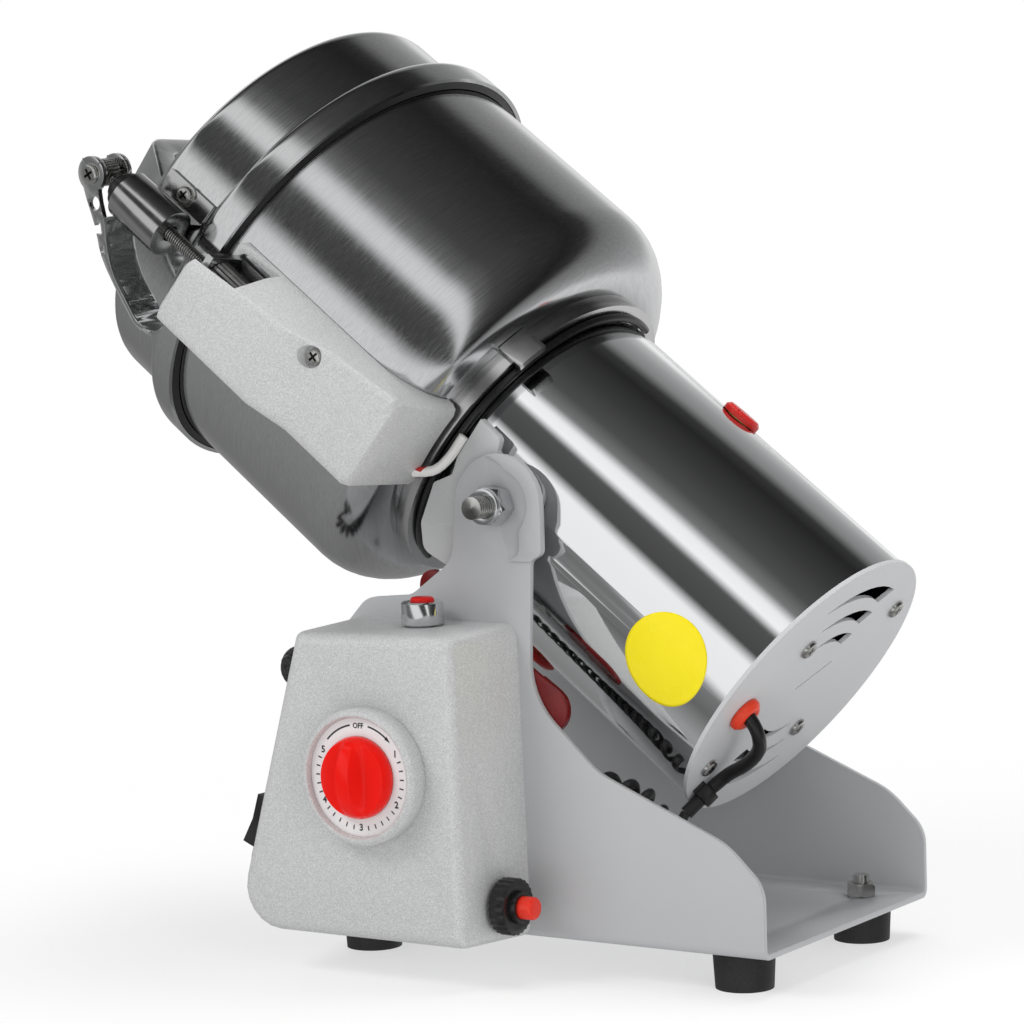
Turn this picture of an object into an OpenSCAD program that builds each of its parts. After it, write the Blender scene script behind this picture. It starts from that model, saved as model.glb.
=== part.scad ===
// Swing grinder for dry spices: a steel bowl on a motor tube, hung in a folded sheet tray.
// Lengths are millimetres. The origin is the centre of the four feet on the table:
// X runs along the tray, Y along the swing axis, and the control box is on the side of minus Y.

/* [Pose] */
// Lean of the head from upright
head_tilt = 51.7; // [30:0.1:65]

/* [Tray] */
// Length of the tray
tray_l = 193; // [185:1:215]
// Thickness of the folded sheet
sheet_t = 2; // [1.5:0.1:2.5]
// Height of the swing axis above the table
pivot_h = 166.5; // [162:0.5:175]
// Place of the swing axis along the tray
pivot_x = -6; // [-8:0.5:-4]
// Radius of the ear round the swing axis
ear_r = 18; // [16:0.5:19]
// Height of a rubber foot
foot_h = 13.8; // [12:0.1:16]
// Radius of a rubber foot
foot_r = 11; // [9:0.5:12]

/* [Motor] */
// Outer radius of the motor tube
housing_r = 56; // [55:0.5:60]
// Wall of the motor tube
housing_wall = 1.2; // [1:0.1:1.5]
// Distance from the swing axis down to the end of the motor tube
housing_down = 108; // [106:0.5:110]
// Radius of the motor shaft
shaft_r = 4; // [3.5:0.1:4.5]

/* [Bowl] */
// Outer radius of the bowl
bowl_r = 85; // [83:0.5:88]
// Height of the bowl, from its floor to its rim
bowl_h = 102; // [98:0.5:106]
// Radius of the round between the bowl's wall and its floor
bowl_round = 23; // [18:0.5:26]
// Wall of the bowl
bowl_wall = 1.5; // [1:0.1:2]

/* [Lid] */
// Height of the lid above the bowl's rim
lid_h = 34.7; // [32:0.5:38]
// Height of the handle above the lid
handle_h = 26; // [24:0.5:30]
// Width of the handle
handle_w = 22; // [20:0.5:26]

/* [Latch] */
// Distance from the bowl's wall to the latch rod's axis
rod_out = 12.8; // [12.5:0.1:13.5]
// Radius of the latch rod
rod_r = 2.5; // [2.3:0.1:2.8]
// Width of the lever's fork
fork_w = 14.6; // [14:0.1:14.8]

/* [Control box] */
// Depth of the box, from the tray's wall to its front
box_depth = 37; // [36:0.5:42]
// Height of the box
box_h = 111; // [108:0.5:114]
// Wall of the box
box_wall = 3; // [2.5:0.1:3.5]
// Radius of the dial's ring
dial_r = 24; // [22:0.5:25]
// Radius of the timer knob
knob_r = 14.5; // [13:0.5:17]

/* [Lead] */
// Diameter of the curly lead's cord
lead_d = 3.6; // [3:0.1:3.8]
// Diameter over the lead's curls
curl_d = 15.5; // [14:0.5:16]
// Number of curls
curls = 28; // [20:1:30]

/* [Hidden] */
$fn = 72;

// Clearances and the overrun of every cut
run_fit = 0.05;
loose_fit = 0.3;
face_gap = 0.5;
over = 1;
skin = 0.2;

// Colours
paint_grey = [0.70, 0.71, 0.72];
box_silver = [0.80, 0.81, 0.81];
cast_grey = [0.74, 0.75, 0.76];
chrome = [0.86, 0.87, 0.88];
steel = [0.66, 0.67, 0.69];
zinc = [0.78, 0.78, 0.76];
black = [0.07, 0.07, 0.08];
red = [0.88, 0.10, 0.08];
dark_red = [0.45, 0.03, 0.03];
white = [0.92, 0.92, 0.90];
copper = [0.72, 0.42, 0.22];
brass = [0.80, 0.66, 0.34];
carbon = [0.18, 0.18, 0.19];

// Outlines with rounded corners: each row of points is x, y and the radius of that corner
arc_steps = 6;
function unit(v) = v / norm(v);
function flat(p) = [p[0], p[1]];
function corner(a, b, c, r) =
    r <= 0 ? [b] :
    let (u = unit(a - b), v = unit(c - b), half = acos(u * v) / 2,
         centre = b + unit(u + v) * (r / sin(half)),
         from = b + u * (r / tan(half)) - centre,
         to = b + v * (r / tan(half)) - centre,
         a0 = atan2(from[1], from[0]),
         sweep = (atan2(to[1], to[0]) - a0 + 540) % 360 - 180)
    [for (k = [0:arc_steps]) centre + r * [cos(a0 + sweep * k / arc_steps),
                                           sin(a0 + sweep * k / arc_steps)]];
function rounded(p) =
    let (n = len(p))
    [for (i = [0:n - 1])
        each corner(flat(p[(i + n - 1) % n]), flat(p[i]), flat(p[(i + 1) % n]), p[i][2])];
function arc(centre, r, a0, a1, steps) =
    [for (k = [0:steps]) centre + r * [cos(a0 + (a1 - a0) * k / steps),
                                       sin(a0 + (a1 - a0) * k / steps)]];

// A smooth curve through hand-set points: the place on it at share u of its whole run
function bend(p0, p1, p2, p3, t) =
    p1 + t * (p2 - p0) / 2 + t * t * (2 * p0 - 5 * p1 + 4 * p2 - p3) / 2
       + t * t * t * (3 * p1 - p0 - 3 * p2 + p3) / 2;
function along(route, u) =
    let (n = len(route), f = min(max(u, 0), 1) * (n - 1), i = min(floor(f), n - 2),
         p0 = i > 0 ? route[i - 1] : 2 * route[0] - route[1],
         p3 = i < n - 2 ? route[i + 2] : 2 * route[n - 1] - route[n - 2])
    bend(p0, route[i], route[i + 1], p3, f - i);

// A closed skin over rings of points, all of the same count
module skinned(rings) {
    n = len(rings);
    sides = len(rings[0]);
    skins = [for (i = [0:n - 2], k = [0:sides - 1])
        let (a = i * sides + k, b = i * sides + (k + 1) % sides)
        each [[a, a + sides, b + sides], [a, b + sides, b]]];
    start = [for (k = [0:sides - 1]) k];
    finish = [for (k = [0:sides - 1]) n * sides - 1 - k];
    polyhedron([for (ring = rings) each ring], concat(skins, [start], [finish]), convexity = 10);
}

// A round tube swept along centres, with the seam of each ring turned towards its own hint
module tube(centres, hints, r, sides) {
    n = len(centres);
    heads = [for (i = [0:n - 1])
        unit(centres[min(i + 1, n - 1)] - centres[max(i - 1, 0)])];
    skinned([for (i = [0:n - 1])
        let (side = unit(hints[i] - heads[i] * (hints[i] * heads[i])), up = cross(heads[i], side))
        [for (k = [0:sides - 1])
            centres[i] + r * (cos(360 * k / sides) * side + sin(360 * k / sides) * up)]]);
}

// Frames: the head on its swing axis, a turn round the head's axis, and a spoke pointing outwards
module head_frame() { translate([pivot_x, 0, pivot_h]) rotate([0, -head_tilt, 0]) children(); }
module spoke(turn, r, s) { rotate([0, 0, turn]) translate([0, -r, s]) rotate([90, 0, 0]) children(); }
module ring(outer, inner, h) {
    difference() {
        cylinder(r = outer, h = h);
        translate([0, 0, -over]) cylinder(r = inner, h = h + 2 * over);
    }
}
module hex_nut(across, bore, h) {
    difference() {
        intersection() {
            cylinder(r = across / cos(30) / 2, h = h, $fn = 6);
            rotate_extrude() polygon([[0, 0], [across / 2, 0], [across / cos(30) / 2, h / 5],
                                      [across / cos(30) / 2, h * 4 / 5], [across / 2, h], [0, h]]);
        }
        translate([0, 0, -over]) cylinder(r = bore, h = h + 2 * over);
    }
}
module pan_head(r, h) {
    rotate_extrude() polygon(concat([[0, 0], [r, 0]], arc([r - h * 0.7, h * 0.3], h * 0.7, 0, 90, 4),
                                    [[0, h]]));
}

// Widths across the machine, from the motor tube outwards
plate_t = 3;
wall_in = housing_r + face_gap + plate_t + face_gap;
tray_w = 2 * (wall_in + sheet_t);

// Sheet tray
bend_r = 3.5;
floor_top = foot_h + sheet_t;
front_reach = tray_l / 2 - pivot_x;
rear_reach = tray_l / 2 + pivot_x;
drop = pivot_h - foot_h;
step_r = 3;
waist_r = 28;
toe_r = 13;
knee_r = 30;
heel_r = 15;
shoulder_r = 10;
foot_inset = 18;
foot_draft = 0.8;
foot_stud_r = 3;
foot_stud_up = 8;
foot_nut_across = 10;
foot_nut_h = 5;
foot_bore_d = 9;
lip_w = 9;
lip_t = 0.8;

// Ear, then down the front edge as shares of the ear, the reach and the drop
waist_shares = [0.73, 0.62];
front_height_shares = [0.888, 0.871, 0.56, 0.395, 0.255, 0.165];
front_reach_shares = [0.37, 0.862];
rear_height_shares = [0.34, 0.70, 0.775, 0.785, 0.87];
rear_reach_shares = [0.76, 0.64, 0.42];
rear_ear_share = 1.1;
function tray_z(share) = foot_h + share * drop;
module tray_side() {
    f = front_height_shares;
    b = rear_height_shares;
    polygon(concat(
        arc([pivot_x, pivot_h], ear_r, 180, 0, 18),
        rounded([[pivot_x + ear_r, pivot_h, 0],
                 [pivot_x + ear_r, tray_z(f[0]), step_r],
                 [pivot_x + ear_r * waist_shares[0], tray_z(f[1]), step_r],
                 [pivot_x + ear_r * waist_shares[1], tray_z(f[2]), waist_r],
                 [pivot_x + front_reach * front_reach_shares[0], tray_z(f[3]), waist_r],
                 [pivot_x + front_reach * front_reach_shares[1], tray_z(f[4]), knee_r],
                 [tray_l / 2, tray_z(f[5]), toe_r],
                 [tray_l / 2, foot_h, 0],
                 [-tray_l / 2, foot_h, 0],
                 [-tray_l / 2, tray_z(b[0]), heel_r],
                 [pivot_x - rear_reach * rear_reach_shares[0], tray_z(b[1]), heel_r],
                 [pivot_x - rear_reach * rear_reach_shares[1], tray_z(b[2]), shoulder_r],
                 [pivot_x - rear_reach * rear_reach_shares[2], tray_z(b[3]), shoulder_r],
                 [pivot_x - ear_r * rear_ear_share, tray_z(b[4]), shoulder_r],
                 [pivot_x - ear_r, pivot_h, 0]])));
}
module tray_section() {
    top = pivot_h + ear_r + over;
    difference() {
        polygon(rounded([[-tray_w / 2, top, 0], [-tray_w / 2, foot_h, bend_r],
                         [tray_w / 2, foot_h, bend_r], [tray_w / 2, top, 0]]));
        polygon(rounded([[-wall_in, top + over, 0], [-wall_in, floor_top, bend_r - sheet_t],
                         [wall_in, floor_top, bend_r - sheet_t], [wall_in, top + over, 0]]));
    }
}
module across_tray(w) { translate([0, w / 2, 0]) rotate([90, 0, 0]) linear_extrude(w) children(); }
module at_feet() {
    for (x = [-1, 1], y = [-1, 1])
        translate([x * (tray_l / 2 - foot_inset), y * (tray_w / 2 - foot_inset), 0]) children();
}
module base_tray() {
    color(paint_grey) difference() {
        union() {
            intersection() {
                translate([-tray_l / 2, 0, 0]) rotate([90, 0, 90]) linear_extrude(tray_l)
                    tray_section();
                across_tray(tray_w) tray_side();
            }
            for (side = [-1, 1])
                translate([0, side * (tray_w + lip_t) / 2, 0]) across_tray(lip_t) difference() {
                    intersection() {
                        tray_side();
                        translate([pivot_x - ear_r, tray_z(front_height_shares[1])])
                            square([2 * ear_r, 2 * ear_r + pivot_h - tray_z(front_height_shares[1])]);
                    }
                    translate([-lip_w, 0]) tray_side();
                    translate([pivot_x, pivot_h]) circle(r = ear_r - lip_w * 0.6);
                }
        }
        across_tray(2 * tray_w) translate([pivot_x, pivot_h]) circle(r = stud_r + run_fit);
        at_feet() cylinder(r = foot_stud_r + run_fit, h = floor_top + over);
        translate([lock_x, over - wall_in, lock_z]) rotate([90, 0, 0])
            cylinder(r = lock_bolt_r + run_fit, h = sheet_t + 2 * over);
    }
}
module rubber_feet() {
    color(black) at_feet() difference() {
        rotate_extrude() polygon([[0, 0], [foot_r - foot_draft, 0], [foot_r, foot_h], [0, foot_h]]);
        translate([0, 0, foot_h - foot_bore_d]) cylinder(r = foot_stud_r + run_fit, h = foot_h);
    }
}
module foot_studs() {
    color(zinc) at_feet() {
        translate([0, 0, foot_h - foot_bore_d])
            cylinder(r = foot_stud_r, h = foot_bore_d + sheet_t + foot_stud_up);
        translate([0, 0, floor_top]) hex_nut(foot_nut_across, foot_stud_r - skin, foot_nut_h);
    }
}

// Control box, a cast shell against the near wall, its front face drawn in by a draft
box_y = tray_w / 2;
box_front = box_y + box_depth;
box_lift = 0.2;
box_bottom = foot_h + box_lift;
box_top = box_bottom + box_h;
box_x = [3, 0.5];
box_rear_x = [-69.5, -102];
box_corner_r = 5;
box_heel_r = 16.5;
box_toe_r = 5;
box_edge_r = 4.5;
box_draft = 1.5;
box_lean = 1.5;
slab_t = 0.1;
edge_steps = 4;
module box_outline() {
    polygon(rounded([[box_rear_x[0], box_top, box_corner_r], [box_x[1], box_top, box_corner_r],
                     [box_x[0], box_bottom, box_toe_r], [box_rear_x[1], box_bottom, box_heel_r]]));
}
module box_slab(inset, y, lean) {
    translate([-lean, -y, 0]) rotate([90, 0, 0]) linear_extrude(slab_t)
        offset(delta = -inset) box_outline();
}
module box_solid() {
    hull() {
        box_slab(0, box_y, 0);
        for (a = [0:90 / edge_steps:90])
            box_slab(box_draft + box_edge_r * (1 - cos(a)),
                     box_front - slab_t - box_edge_r * (1 - sin(a)), box_lean);
    }
}
module box_cavity() {
    hull() {
        box_slab(box_wall, box_y - over, 0);
        box_slab(box_wall + box_draft, box_front - box_wall - slab_t, box_lean);
    }
}
// Where the dial, the push button, the reset and the two fittings of the sloping face sit
dial_x = -38.4;
dial_z = 74.5;
bush_r = 5;
press_x = -31;
press_y = -74;
press_seat = box_top;
press_barrel_r = 6;
reset_y = -78;
reset_z = 28;
reset_in = 0.6;
reset_seat = box_x[0] - reset_in;
reset_neck_r = 5.5;
rocker_z = 51;
rocker_y = -85;
gland_z = 101.5;
gland_y = -72;
gland_hole_r = 3.5;
slope = atan2(box_h, box_rear_x[0] - box_rear_x[1]);
function slope_x(z) =
    box_rear_x[0] + (box_rear_x[1] - box_rear_x[0]) * (box_top - z) / box_h;
module dial_frame() { translate([dial_x, -box_front, dial_z]) rotate([90, 0, 0]) children(); }
module press_frame() { translate([press_x, press_y, press_seat]) children(); }
module reset_frame() { translate([reset_seat, reset_y, reset_z]) rotate([0, 90, 0]) children(); }
module slope_frame(y, z) { translate([slope_x(z), y, z]) rotate([0, -slope, 0]) children(); }
rocker_len = 21;
rocker_w = 12;
bezel_len = 24;
bezel_w = 16;
bezel_t = 2;
bezel_deep = 14;
module control_box() {
    color(box_silver) difference() {
        box_solid();
        box_cavity();
        dial_frame() translate([0, 0, -box_wall - over])
            cylinder(r = bush_r + run_fit, h = box_wall + 2 * over);
        press_frame() translate([0, 0, -2 * box_wall])
            cylinder(r = press_barrel_r + run_fit, h = 2 * box_wall + over);
        reset_frame() translate([0, 0, -2 * box_wall])
            cylinder(r = reset_neck_r + run_fit, h = 2 * box_wall + over);
        slope_frame(gland_y, gland_z) translate([0, 0, -2 * box_wall])
            cylinder(r = gland_hole_r + run_fit, h = 2 * box_wall + over);
        slope_frame(rocker_y, rocker_z)
            cube([bezel_len - bezel_t, bezel_w - bezel_t, 4 * box_wall], center = true);
    }
}

// Timer behind the dial
timer_side = 42;
timer_deep = 20;
bush_up = 3;
timer_shaft_r = 3;
ring_h = 8;
ring_w = 3.1;
ring_bevel = 1.6;
disc_h = 5.5;
knob_seat = disc_h + loose_fit;
knob_h = 10.8;
knob_floor = 4.6;
knob_grip_w = 5.6;
knob_grip_r = 48;
knob_steps = 9;
knob_bore = 7.5;
knob_round = 1.2;
shaft_tail = 8;
module timer_body() {
    color(black) dial_frame() difference() {
        union() {
            translate([-timer_side / 2, -timer_side / 2, -box_wall - timer_deep])
                cube([timer_side, timer_side, timer_deep]);
            translate([0, 0, -box_wall]) cylinder(r = bush_r, h = box_wall + bush_up);
        }
        translate([0, 0, -box_wall - shaft_tail - over])
            cylinder(r = timer_shaft_r + run_fit, h = 2 * timer_deep);
    }
}
module dial_ring() {
    color(box_silver) dial_frame() rotate_extrude() polygon([
        [dial_r - ring_w, 0], [dial_r, 0], [dial_r, ring_h - ring_bevel],
        [dial_r - ring_bevel / 2, ring_h - ring_bevel / 3], [dial_r - ring_bevel, ring_h],
        [dial_r - ring_w + ring_bevel / 3, ring_h], [dial_r - ring_w, ring_h - ring_bevel / 2]]);
}
module dial_disc() {
    color(white) dial_frame() difference() {
        cylinder(r = dial_r - ring_w - run_fit, h = disc_h);
        translate([0, 0, -over]) cylinder(r = bush_r + run_fit, h = bush_up + 2 * over);
        cylinder(r = timer_shaft_r + loose_fit, h = disc_h + over);
    }
}
module timer_shaft() {
    color(zinc) dial_frame() translate([0, 0, -box_wall - shaft_tail])
        cylinder(r = timer_shaft_r, h = box_wall + shaft_tail + knob_seat + knob_bore);
}
module timer_knob() {
    color(red) dial_frame() difference() {
        translate([0, 0, knob_seat]) intersection() {
            rotate_extrude() polygon(concat([[0, 0]],
                [for (a = [0:90 / knob_steps:90]) [knob_r * cos(a), knob_h * sin(a)]]));
            union() {
                translate([-knob_r, -knob_r, 0]) cube([2 * knob_r, 2 * knob_r, knob_floor]);
                intersection_for (side = [-1, 1])
                    translate([side * (knob_grip_r - knob_grip_w / 2), 0, 0])
                        cylinder(r = knob_grip_r, h = knob_h);
            }
        }
        translate([0, 0, knob_seat - over])
            cylinder(r = timer_shaft_r + run_fit, h = knob_bore + over);
    }
}

// Push button for short bursts, in its chromed collar on top of the box
press_r = 7.6;
press_h = 8;
press_up = 1.6;
press_cap_r = 4.3;
press_barrel_h = 12;
press_tail = 8;
module button_collar() {
    color(chrome) press_frame() difference() {
        union() {
            rotate_extrude() polygon([[0, 0], [press_r, 0], [press_r, press_h - knob_round / 2],
                                      [press_r - knob_round / 2, press_h], [0, press_h]]);
            translate([0, 0, -press_barrel_h]) cylinder(r = press_barrel_r, h = press_barrel_h);
        }
        translate([0, 0, -press_barrel_h + box_wall / 2])
            cylinder(r = press_cap_r + run_fit, h = press_barrel_h + press_h);
    }
}
module jog_button() {
    color(red) press_frame() translate([0, 0, -press_tail]) rotate_extrude()
        polygon(concat([[0, 0], [press_cap_r, 0]],
            arc([press_cap_r - knob_round, press_tail + press_h + press_up - knob_round],
                knob_round, 0, 90, 4),
            [[0, press_tail + press_h + press_up]]));
}

// Overload reset low on the front side of the box
reset_len = 28;
reset_high = 17;
reset_neck_up = 8;
reset_nut_r = 10;
reset_nut_h = 6;
reset_cap_r = 4;
reset_up = 5.5;
reset_tail = 6;
reset_bore_d = 10;
reset_sink = 10;
knurl_n = 24;
knurl_t = 0.5;
module knurled(r, bore, h) {
    difference() {
        linear_extrude(h) polygon([for (k = [0:2 * knurl_n - 1])
            (r - (k % 2) * knurl_t) * [cos(180 * k / knurl_n), sin(180 * k / knurl_n)]]);
        translate([0, 0, -over]) cylinder(r = bore, h = h + 2 * over);
    }
}
module reset_breaker() {
    color(black) reset_frame() difference() {
        union() {
            translate([0, 0, -reset_sink]) cylinder(r = reset_neck_r, h = reset_sink + reset_neck_up);
            translate([-reset_high / 2, -reset_high / 2, -reset_sink - reset_len])
                cube([reset_high, reset_high, reset_len]);
        }
        translate([0, 0, -reset_bore_d])
            cylinder(r = reset_cap_r + 2 * run_fit, h = reset_bore_d + reset_neck_up + over);
    }
}
module reset_nut() {
    color(black) reset_frame() knurled(reset_nut_r, reset_neck_r + run_fit, reset_nut_h);
}
module reset_button() {
    color(red) reset_frame() translate([0, 0, -reset_tail]) rotate_extrude()
        polygon(concat([[0, 0], [reset_cap_r, 0]],
            arc([reset_cap_r - knob_round, reset_tail + reset_neck_up + reset_up - knob_round],
                knob_round, 0, 90, 4),
            [[0, reset_tail + reset_neck_up + reset_up]]));
}

// Rocker switch on the sloping face
rocker_tilt = 7;
rocker_axle_r = 1.5;
rocker_axle_deep = 0.5;
rocker_play = 1;
rocker_up = 7.5;
rocker_dip = 1;
rocker_low = 6;
rocker_foot_share = 0.4;
axle_up = 1;
module rocker_bezel() {
    color(black) slope_frame(rocker_y, rocker_z) difference() {
        union() {
            translate([-bezel_len / 2, -bezel_w / 2, 0]) cube([bezel_len, bezel_w, bezel_t]);
            translate([-(bezel_len - bezel_t - skin) / 2, -(bezel_w - bezel_t - skin) / 2, -bezel_deep])
                cube([bezel_len - bezel_t - skin, bezel_w - bezel_t - skin, bezel_deep]);
        }
        translate([-rocker_len / 2, -rocker_w / 2, box_wall - bezel_deep])
            cube([rocker_len, rocker_w, bezel_deep]);
        translate([0, rocker_w / 2 + rocker_axle_deep, -axle_up]) rotate([90, 0, 0])
            cylinder(r = rocker_axle_r + run_fit, h = rocker_w + 2 * rocker_axle_deep);
    }
}
module power_rocker() {
    half = rocker_len / 2 - rocker_play;
    axle = rocker_w + 2 * rocker_axle_deep - 2 * run_fit;
    color(black) slope_frame(rocker_y, rocker_z) translate([0, 0, -axle_up])
        rotate([0, rocker_tilt, 0]) {
            rotate([90, 0, 0]) translate([0, 0, loose_fit - rocker_w / 2])
                linear_extrude(rocker_w - 2 * loose_fit) polygon([
                    [-half, 0], [-half, rocker_up + axle_up], [0, rocker_up + axle_up - rocker_dip],
                    [half, rocker_up + axle_up], [half, 0], [half * rocker_foot_share, -rocker_low],
                    [-half * rocker_foot_share, -rocker_low]]);
            rotate([90, 0, 0]) translate([0, 0, -axle / 2]) cylinder(r = rocker_axle_r, h = axle);
        }
}

// Strain relief of the curly lead, on the sloping face
gland_r = 6;
gland_t = 2;
gland_len = 8;
gland_tail = 6;
module lead_gland() {
    color(black) slope_frame(gland_y, gland_z) rotate_extrude() polygon([
        [0, -gland_tail], [gland_hole_r, -gland_tail], [gland_hole_r, 0], [gland_r, 0],
        [gland_r, gland_t], [gland_hole_r, gland_t], [lead_d * 0.6, gland_t + gland_len],
        [0, gland_t + gland_len]]);
}

// Curly lead: a helix on a route from the gland, round the rear of the near wall, to the clip.
// The route's inner points are set by hand.
clip_turn = -57;
clip_s = -4.4;
lead_end_out = 5;
lead_end_r = housing_r + lead_end_out;
straight = 1.5 * lead_d;
gland_out = [-sin(slope), 0, cos(slope)];
gland_tip = [slope_x(gland_z), gland_y, gland_z] + gland_out * (gland_t + gland_len);
function head_point(w, y, s) = [pivot_x + w * cos(head_tilt) - s * sin(head_tilt), y,
                                pivot_h + w * sin(head_tilt) + s * cos(head_tilt)];
function spoke_point(turn, r, s) = head_point(r * sin(turn), -r * cos(turn), s);
clip_out = spoke_point(clip_turn, 1, 0) - spoke_point(clip_turn, 0, 0);
clip_tip = spoke_point(clip_turn, lead_end_r + loose_fit, clip_s - housing_down);
lead_route = concat(
    [gland_tip, gland_tip + gland_out * straight],
    [[-94, -68, 108], [-95, -59, 104], [-89, -50, 97], [-74, -47, 84], [-56, -47, 73],
     [-38, -47, 66], [-20, -47, 63], [-2, -47, 63], [14, -47, 64], [28, -46, 64], [39, -43, 59]],
    [clip_tip + clip_out * straight, clip_tip]);
rings_per_curl = 8;
straight_share = 0.025;
grow_share = 0.07;
lead_rings = curls * rings_per_curl;
// Lengths along the route, so that the curls are evenly spaced
lead_marks = 160;
lead_runs = [for (k = 0, run = 0; k <= lead_marks;
    run = run + (k < lead_marks ? norm(along(lead_route, (k + 1) / lead_marks)
                                       - along(lead_route, k / lead_marks)) : 0), k = k + 1)
    [run, k / lead_marks]];
lead_run = lead_runs[lead_marks][0];
function ease(x) = let (c = min(max(x, 0), 1)) c * c * (3 - 2 * c);
function curl_grow(share) = ease((min(share, 1 - share) - straight_share) / grow_share);
curl_r = (curl_d - lead_d) / 2;
up_z = [0, 0, 1];
function lead_place(share) = along(lead_route, lookup(share * lead_run, lead_runs));
function lead_hint(share, turn) =
    let (way = unit(lead_place(share + 0.01) - lead_place(share - 0.01)),
         side = unit(cross(way, up_z)), top = cross(side, way))
    cos(turn) * side + sin(turn) * top;
lead_hints = [for (k = [0:lead_rings]) lead_hint(k / lead_rings, 360 * k / rings_per_curl)];
lead_centres = [for (k = [0:lead_rings])
    lead_place(k / lead_rings) + curl_r * curl_grow(k / lead_rings) * lead_hints[k]];
lead_gap = min([for (i = [0:lead_rings - rings_per_curl * 3 / 4])
    for (j = [i + rings_per_curl * 3 / 4:min(i + 2 * rings_per_curl, lead_rings)])
        norm(lead_centres[i] - lead_centres[j])]) - lead_d;
lead_length = [for (k = 0, sum = 0; k < lead_rings;
    sum = sum + norm(lead_centres[k + 1] - lead_centres[k]), k = k + 1) sum];
echo(least_gap_of_the_lead = lead_gap, length_of_the_lead = lead_length[len(lead_length) - 1]);
module curly_lead() {
    color(black) tube(lead_centres, lead_hints, lead_d / 2, 6);
}

// Tilt lock: a flat lever inside the near wall, its ends dipped in red
lock_x = -19;
lock_z = 118.2;
lock_t = 2.4;
lock_bolt_r = 2;
lock_nut_across = 7;
lock_nut_h = 3.2;
lock_head_r = 6;
lock_head_t = 1.2;
lock_w = 12;
lock_ends = [[-21, 23], [36, -29]];
lock_grip_w = [11, 17];
lock_grip_t = 1;
lock_grip_len = [12, 19];
module lock_plan(from, w0, w1) {
    angle = atan2(from[1], from[0]);
    rotate([0, 0, angle]) hull() {
        circle(r = w0 / 2, $fn = 24);
        translate([norm(from) - w1 / 2, 0]) circle(r = w1 / 2, $fn = 24);
    }
}
module lock_frame() { translate([lock_x, -wall_in, lock_z]) rotate([90, 0, 0]) children(); }
module lock_lever() {
    color(dark_red) lock_frame() difference() {
        union() {
            for (i = [0, 1]) {
                translate([0, 0, -lock_t - skin / 2]) linear_extrude(lock_t)
                    lock_plan(lock_ends[i], lock_w, lock_grip_w[i]);
                translate([0, 0, -lock_t - skin / 2 - lock_grip_t * i]) intersection() {
                    linear_extrude(lock_t + lock_grip_t * i)
                        lock_plan(lock_ends[i], lock_w, lock_grip_w[i]);
                    translate([lock_ends[i][0], lock_ends[i][1], 0])
                        cylinder(r = lock_grip_len[i], h = 2 * lock_t + lock_grip_t);
                }
            }
        }
        translate([0, 0, -lock_t - over]) cylinder(r = lock_bolt_r + run_fit, h = lock_t + 2 * over);
    }
}
module lock_bolt() {
    color(zinc) lock_frame() translate([0, 0, -lock_t - skin]) {
        translate([0, 0, -lock_head_t]) cylinder(r = lock_head_r, h = lock_head_t);
        cylinder(r = lock_bolt_r, h = lock_t + skin + sheet_t + 2 * lock_nut_h);
        translate([0, 0, lock_t + skin + sheet_t])
            hex_nut(lock_nut_across, lock_bolt_r - skin, lock_nut_h);
    }
}

// Motor tube and its end plate
housing_top = 29;
plate_step = 1;
end_t = 1.5;
end_s = -housing_down;
stud_r = 4;
vent_r_shares = [0.78, 0.59, 0.41];
vent_w_shares = [0.125, 0.105, 0.09];
vent_sweep = [58, 116];
vent_n = 8;
slit_shares = [[-0.004, -0.084], [0.18, 0.175]];
slit_t = 0.8;
end_screw_r_shares = [0.83, 0.50, 0.54, 0.83];
end_screw_turns = [137, 47, -132, -43];
end_screw_r = 3.6;
end_screw_h = 1.6;
end_screw_shank = 1.9;
end_screw_deep = 7;
grommet_turn = -9;
grommet_at = housing_r * 0.666;
grommet_r = 6.5;
grommet_neck = grommet_r * 0.6;
sleeve_r = 2.5;
module motor_housing() {
    color(chrome) head_frame() difference() {
        translate([0, 0, end_s])
            ring(housing_r, housing_r - housing_wall, housing_down + housing_top);
        for (side = [0, 180])
            spoke(side, housing_r - 2 * housing_wall, 0)
                cylinder(r = stud_r + run_fit, h = 4 * housing_wall);
        for (side = [0, 180])
            spoke(brush_turn + side, housing_r - 4 * housing_wall, brush_s)
                cylinder(r = holder_r + run_fit, h = 8 * housing_wall);
    }
}
// One vent is a crescent: its inner edge leaves the outer one and the gap widens to a blunt end
module vent(r, w) {
    polygon(concat(
        [for (k = [0:vent_n])
            let (t = k / vent_n, a = vent_sweep[0] + (vent_sweep[1] - vent_sweep[0]) * t)
            (r + w * t / 2) * [sin(a), -cos(a)]],
        [for (k = [vent_n:-1:0])
            let (t = k / vent_n, a = vent_sweep[0] + (vent_sweep[1] - vent_sweep[0] - 5 * t) * t)
            (r - w * t / 2 - slit_t / 2) * [sin(a), -cos(a)]]));
}
module end_plate() {
    color(paint_grey) head_frame() translate([0, 0, end_s - end_t]) difference() {
        cylinder(r = housing_r + plate_step, h = end_t);
        translate([0, 0, -over]) linear_extrude(end_t + 2 * over) {
            for (half = [0, 180], i = [0:2])
                rotate([0, 0, half]) vent(housing_r * vent_r_shares[i], housing_r * vent_w_shares[i]);
            hull() {
                translate(housing_r * slit_shares[0]) circle(r = slit_t / 2);
                translate(housing_r * slit_shares[1]) circle(r = slit_t / 2);
            }
        }
        for (i = [0:3])
            rotate([0, 0, end_screw_turns[i]]) translate([0, -housing_r * end_screw_r_shares[i], -over])
                cylinder(r = end_screw_shank + run_fit, h = end_t + 2 * over);
        rotate([0, 0, grommet_turn]) translate([0, -grommet_at, -over])
            cylinder(r = grommet_neck + run_fit, h = end_t + 2 * over);
    }
}
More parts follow.
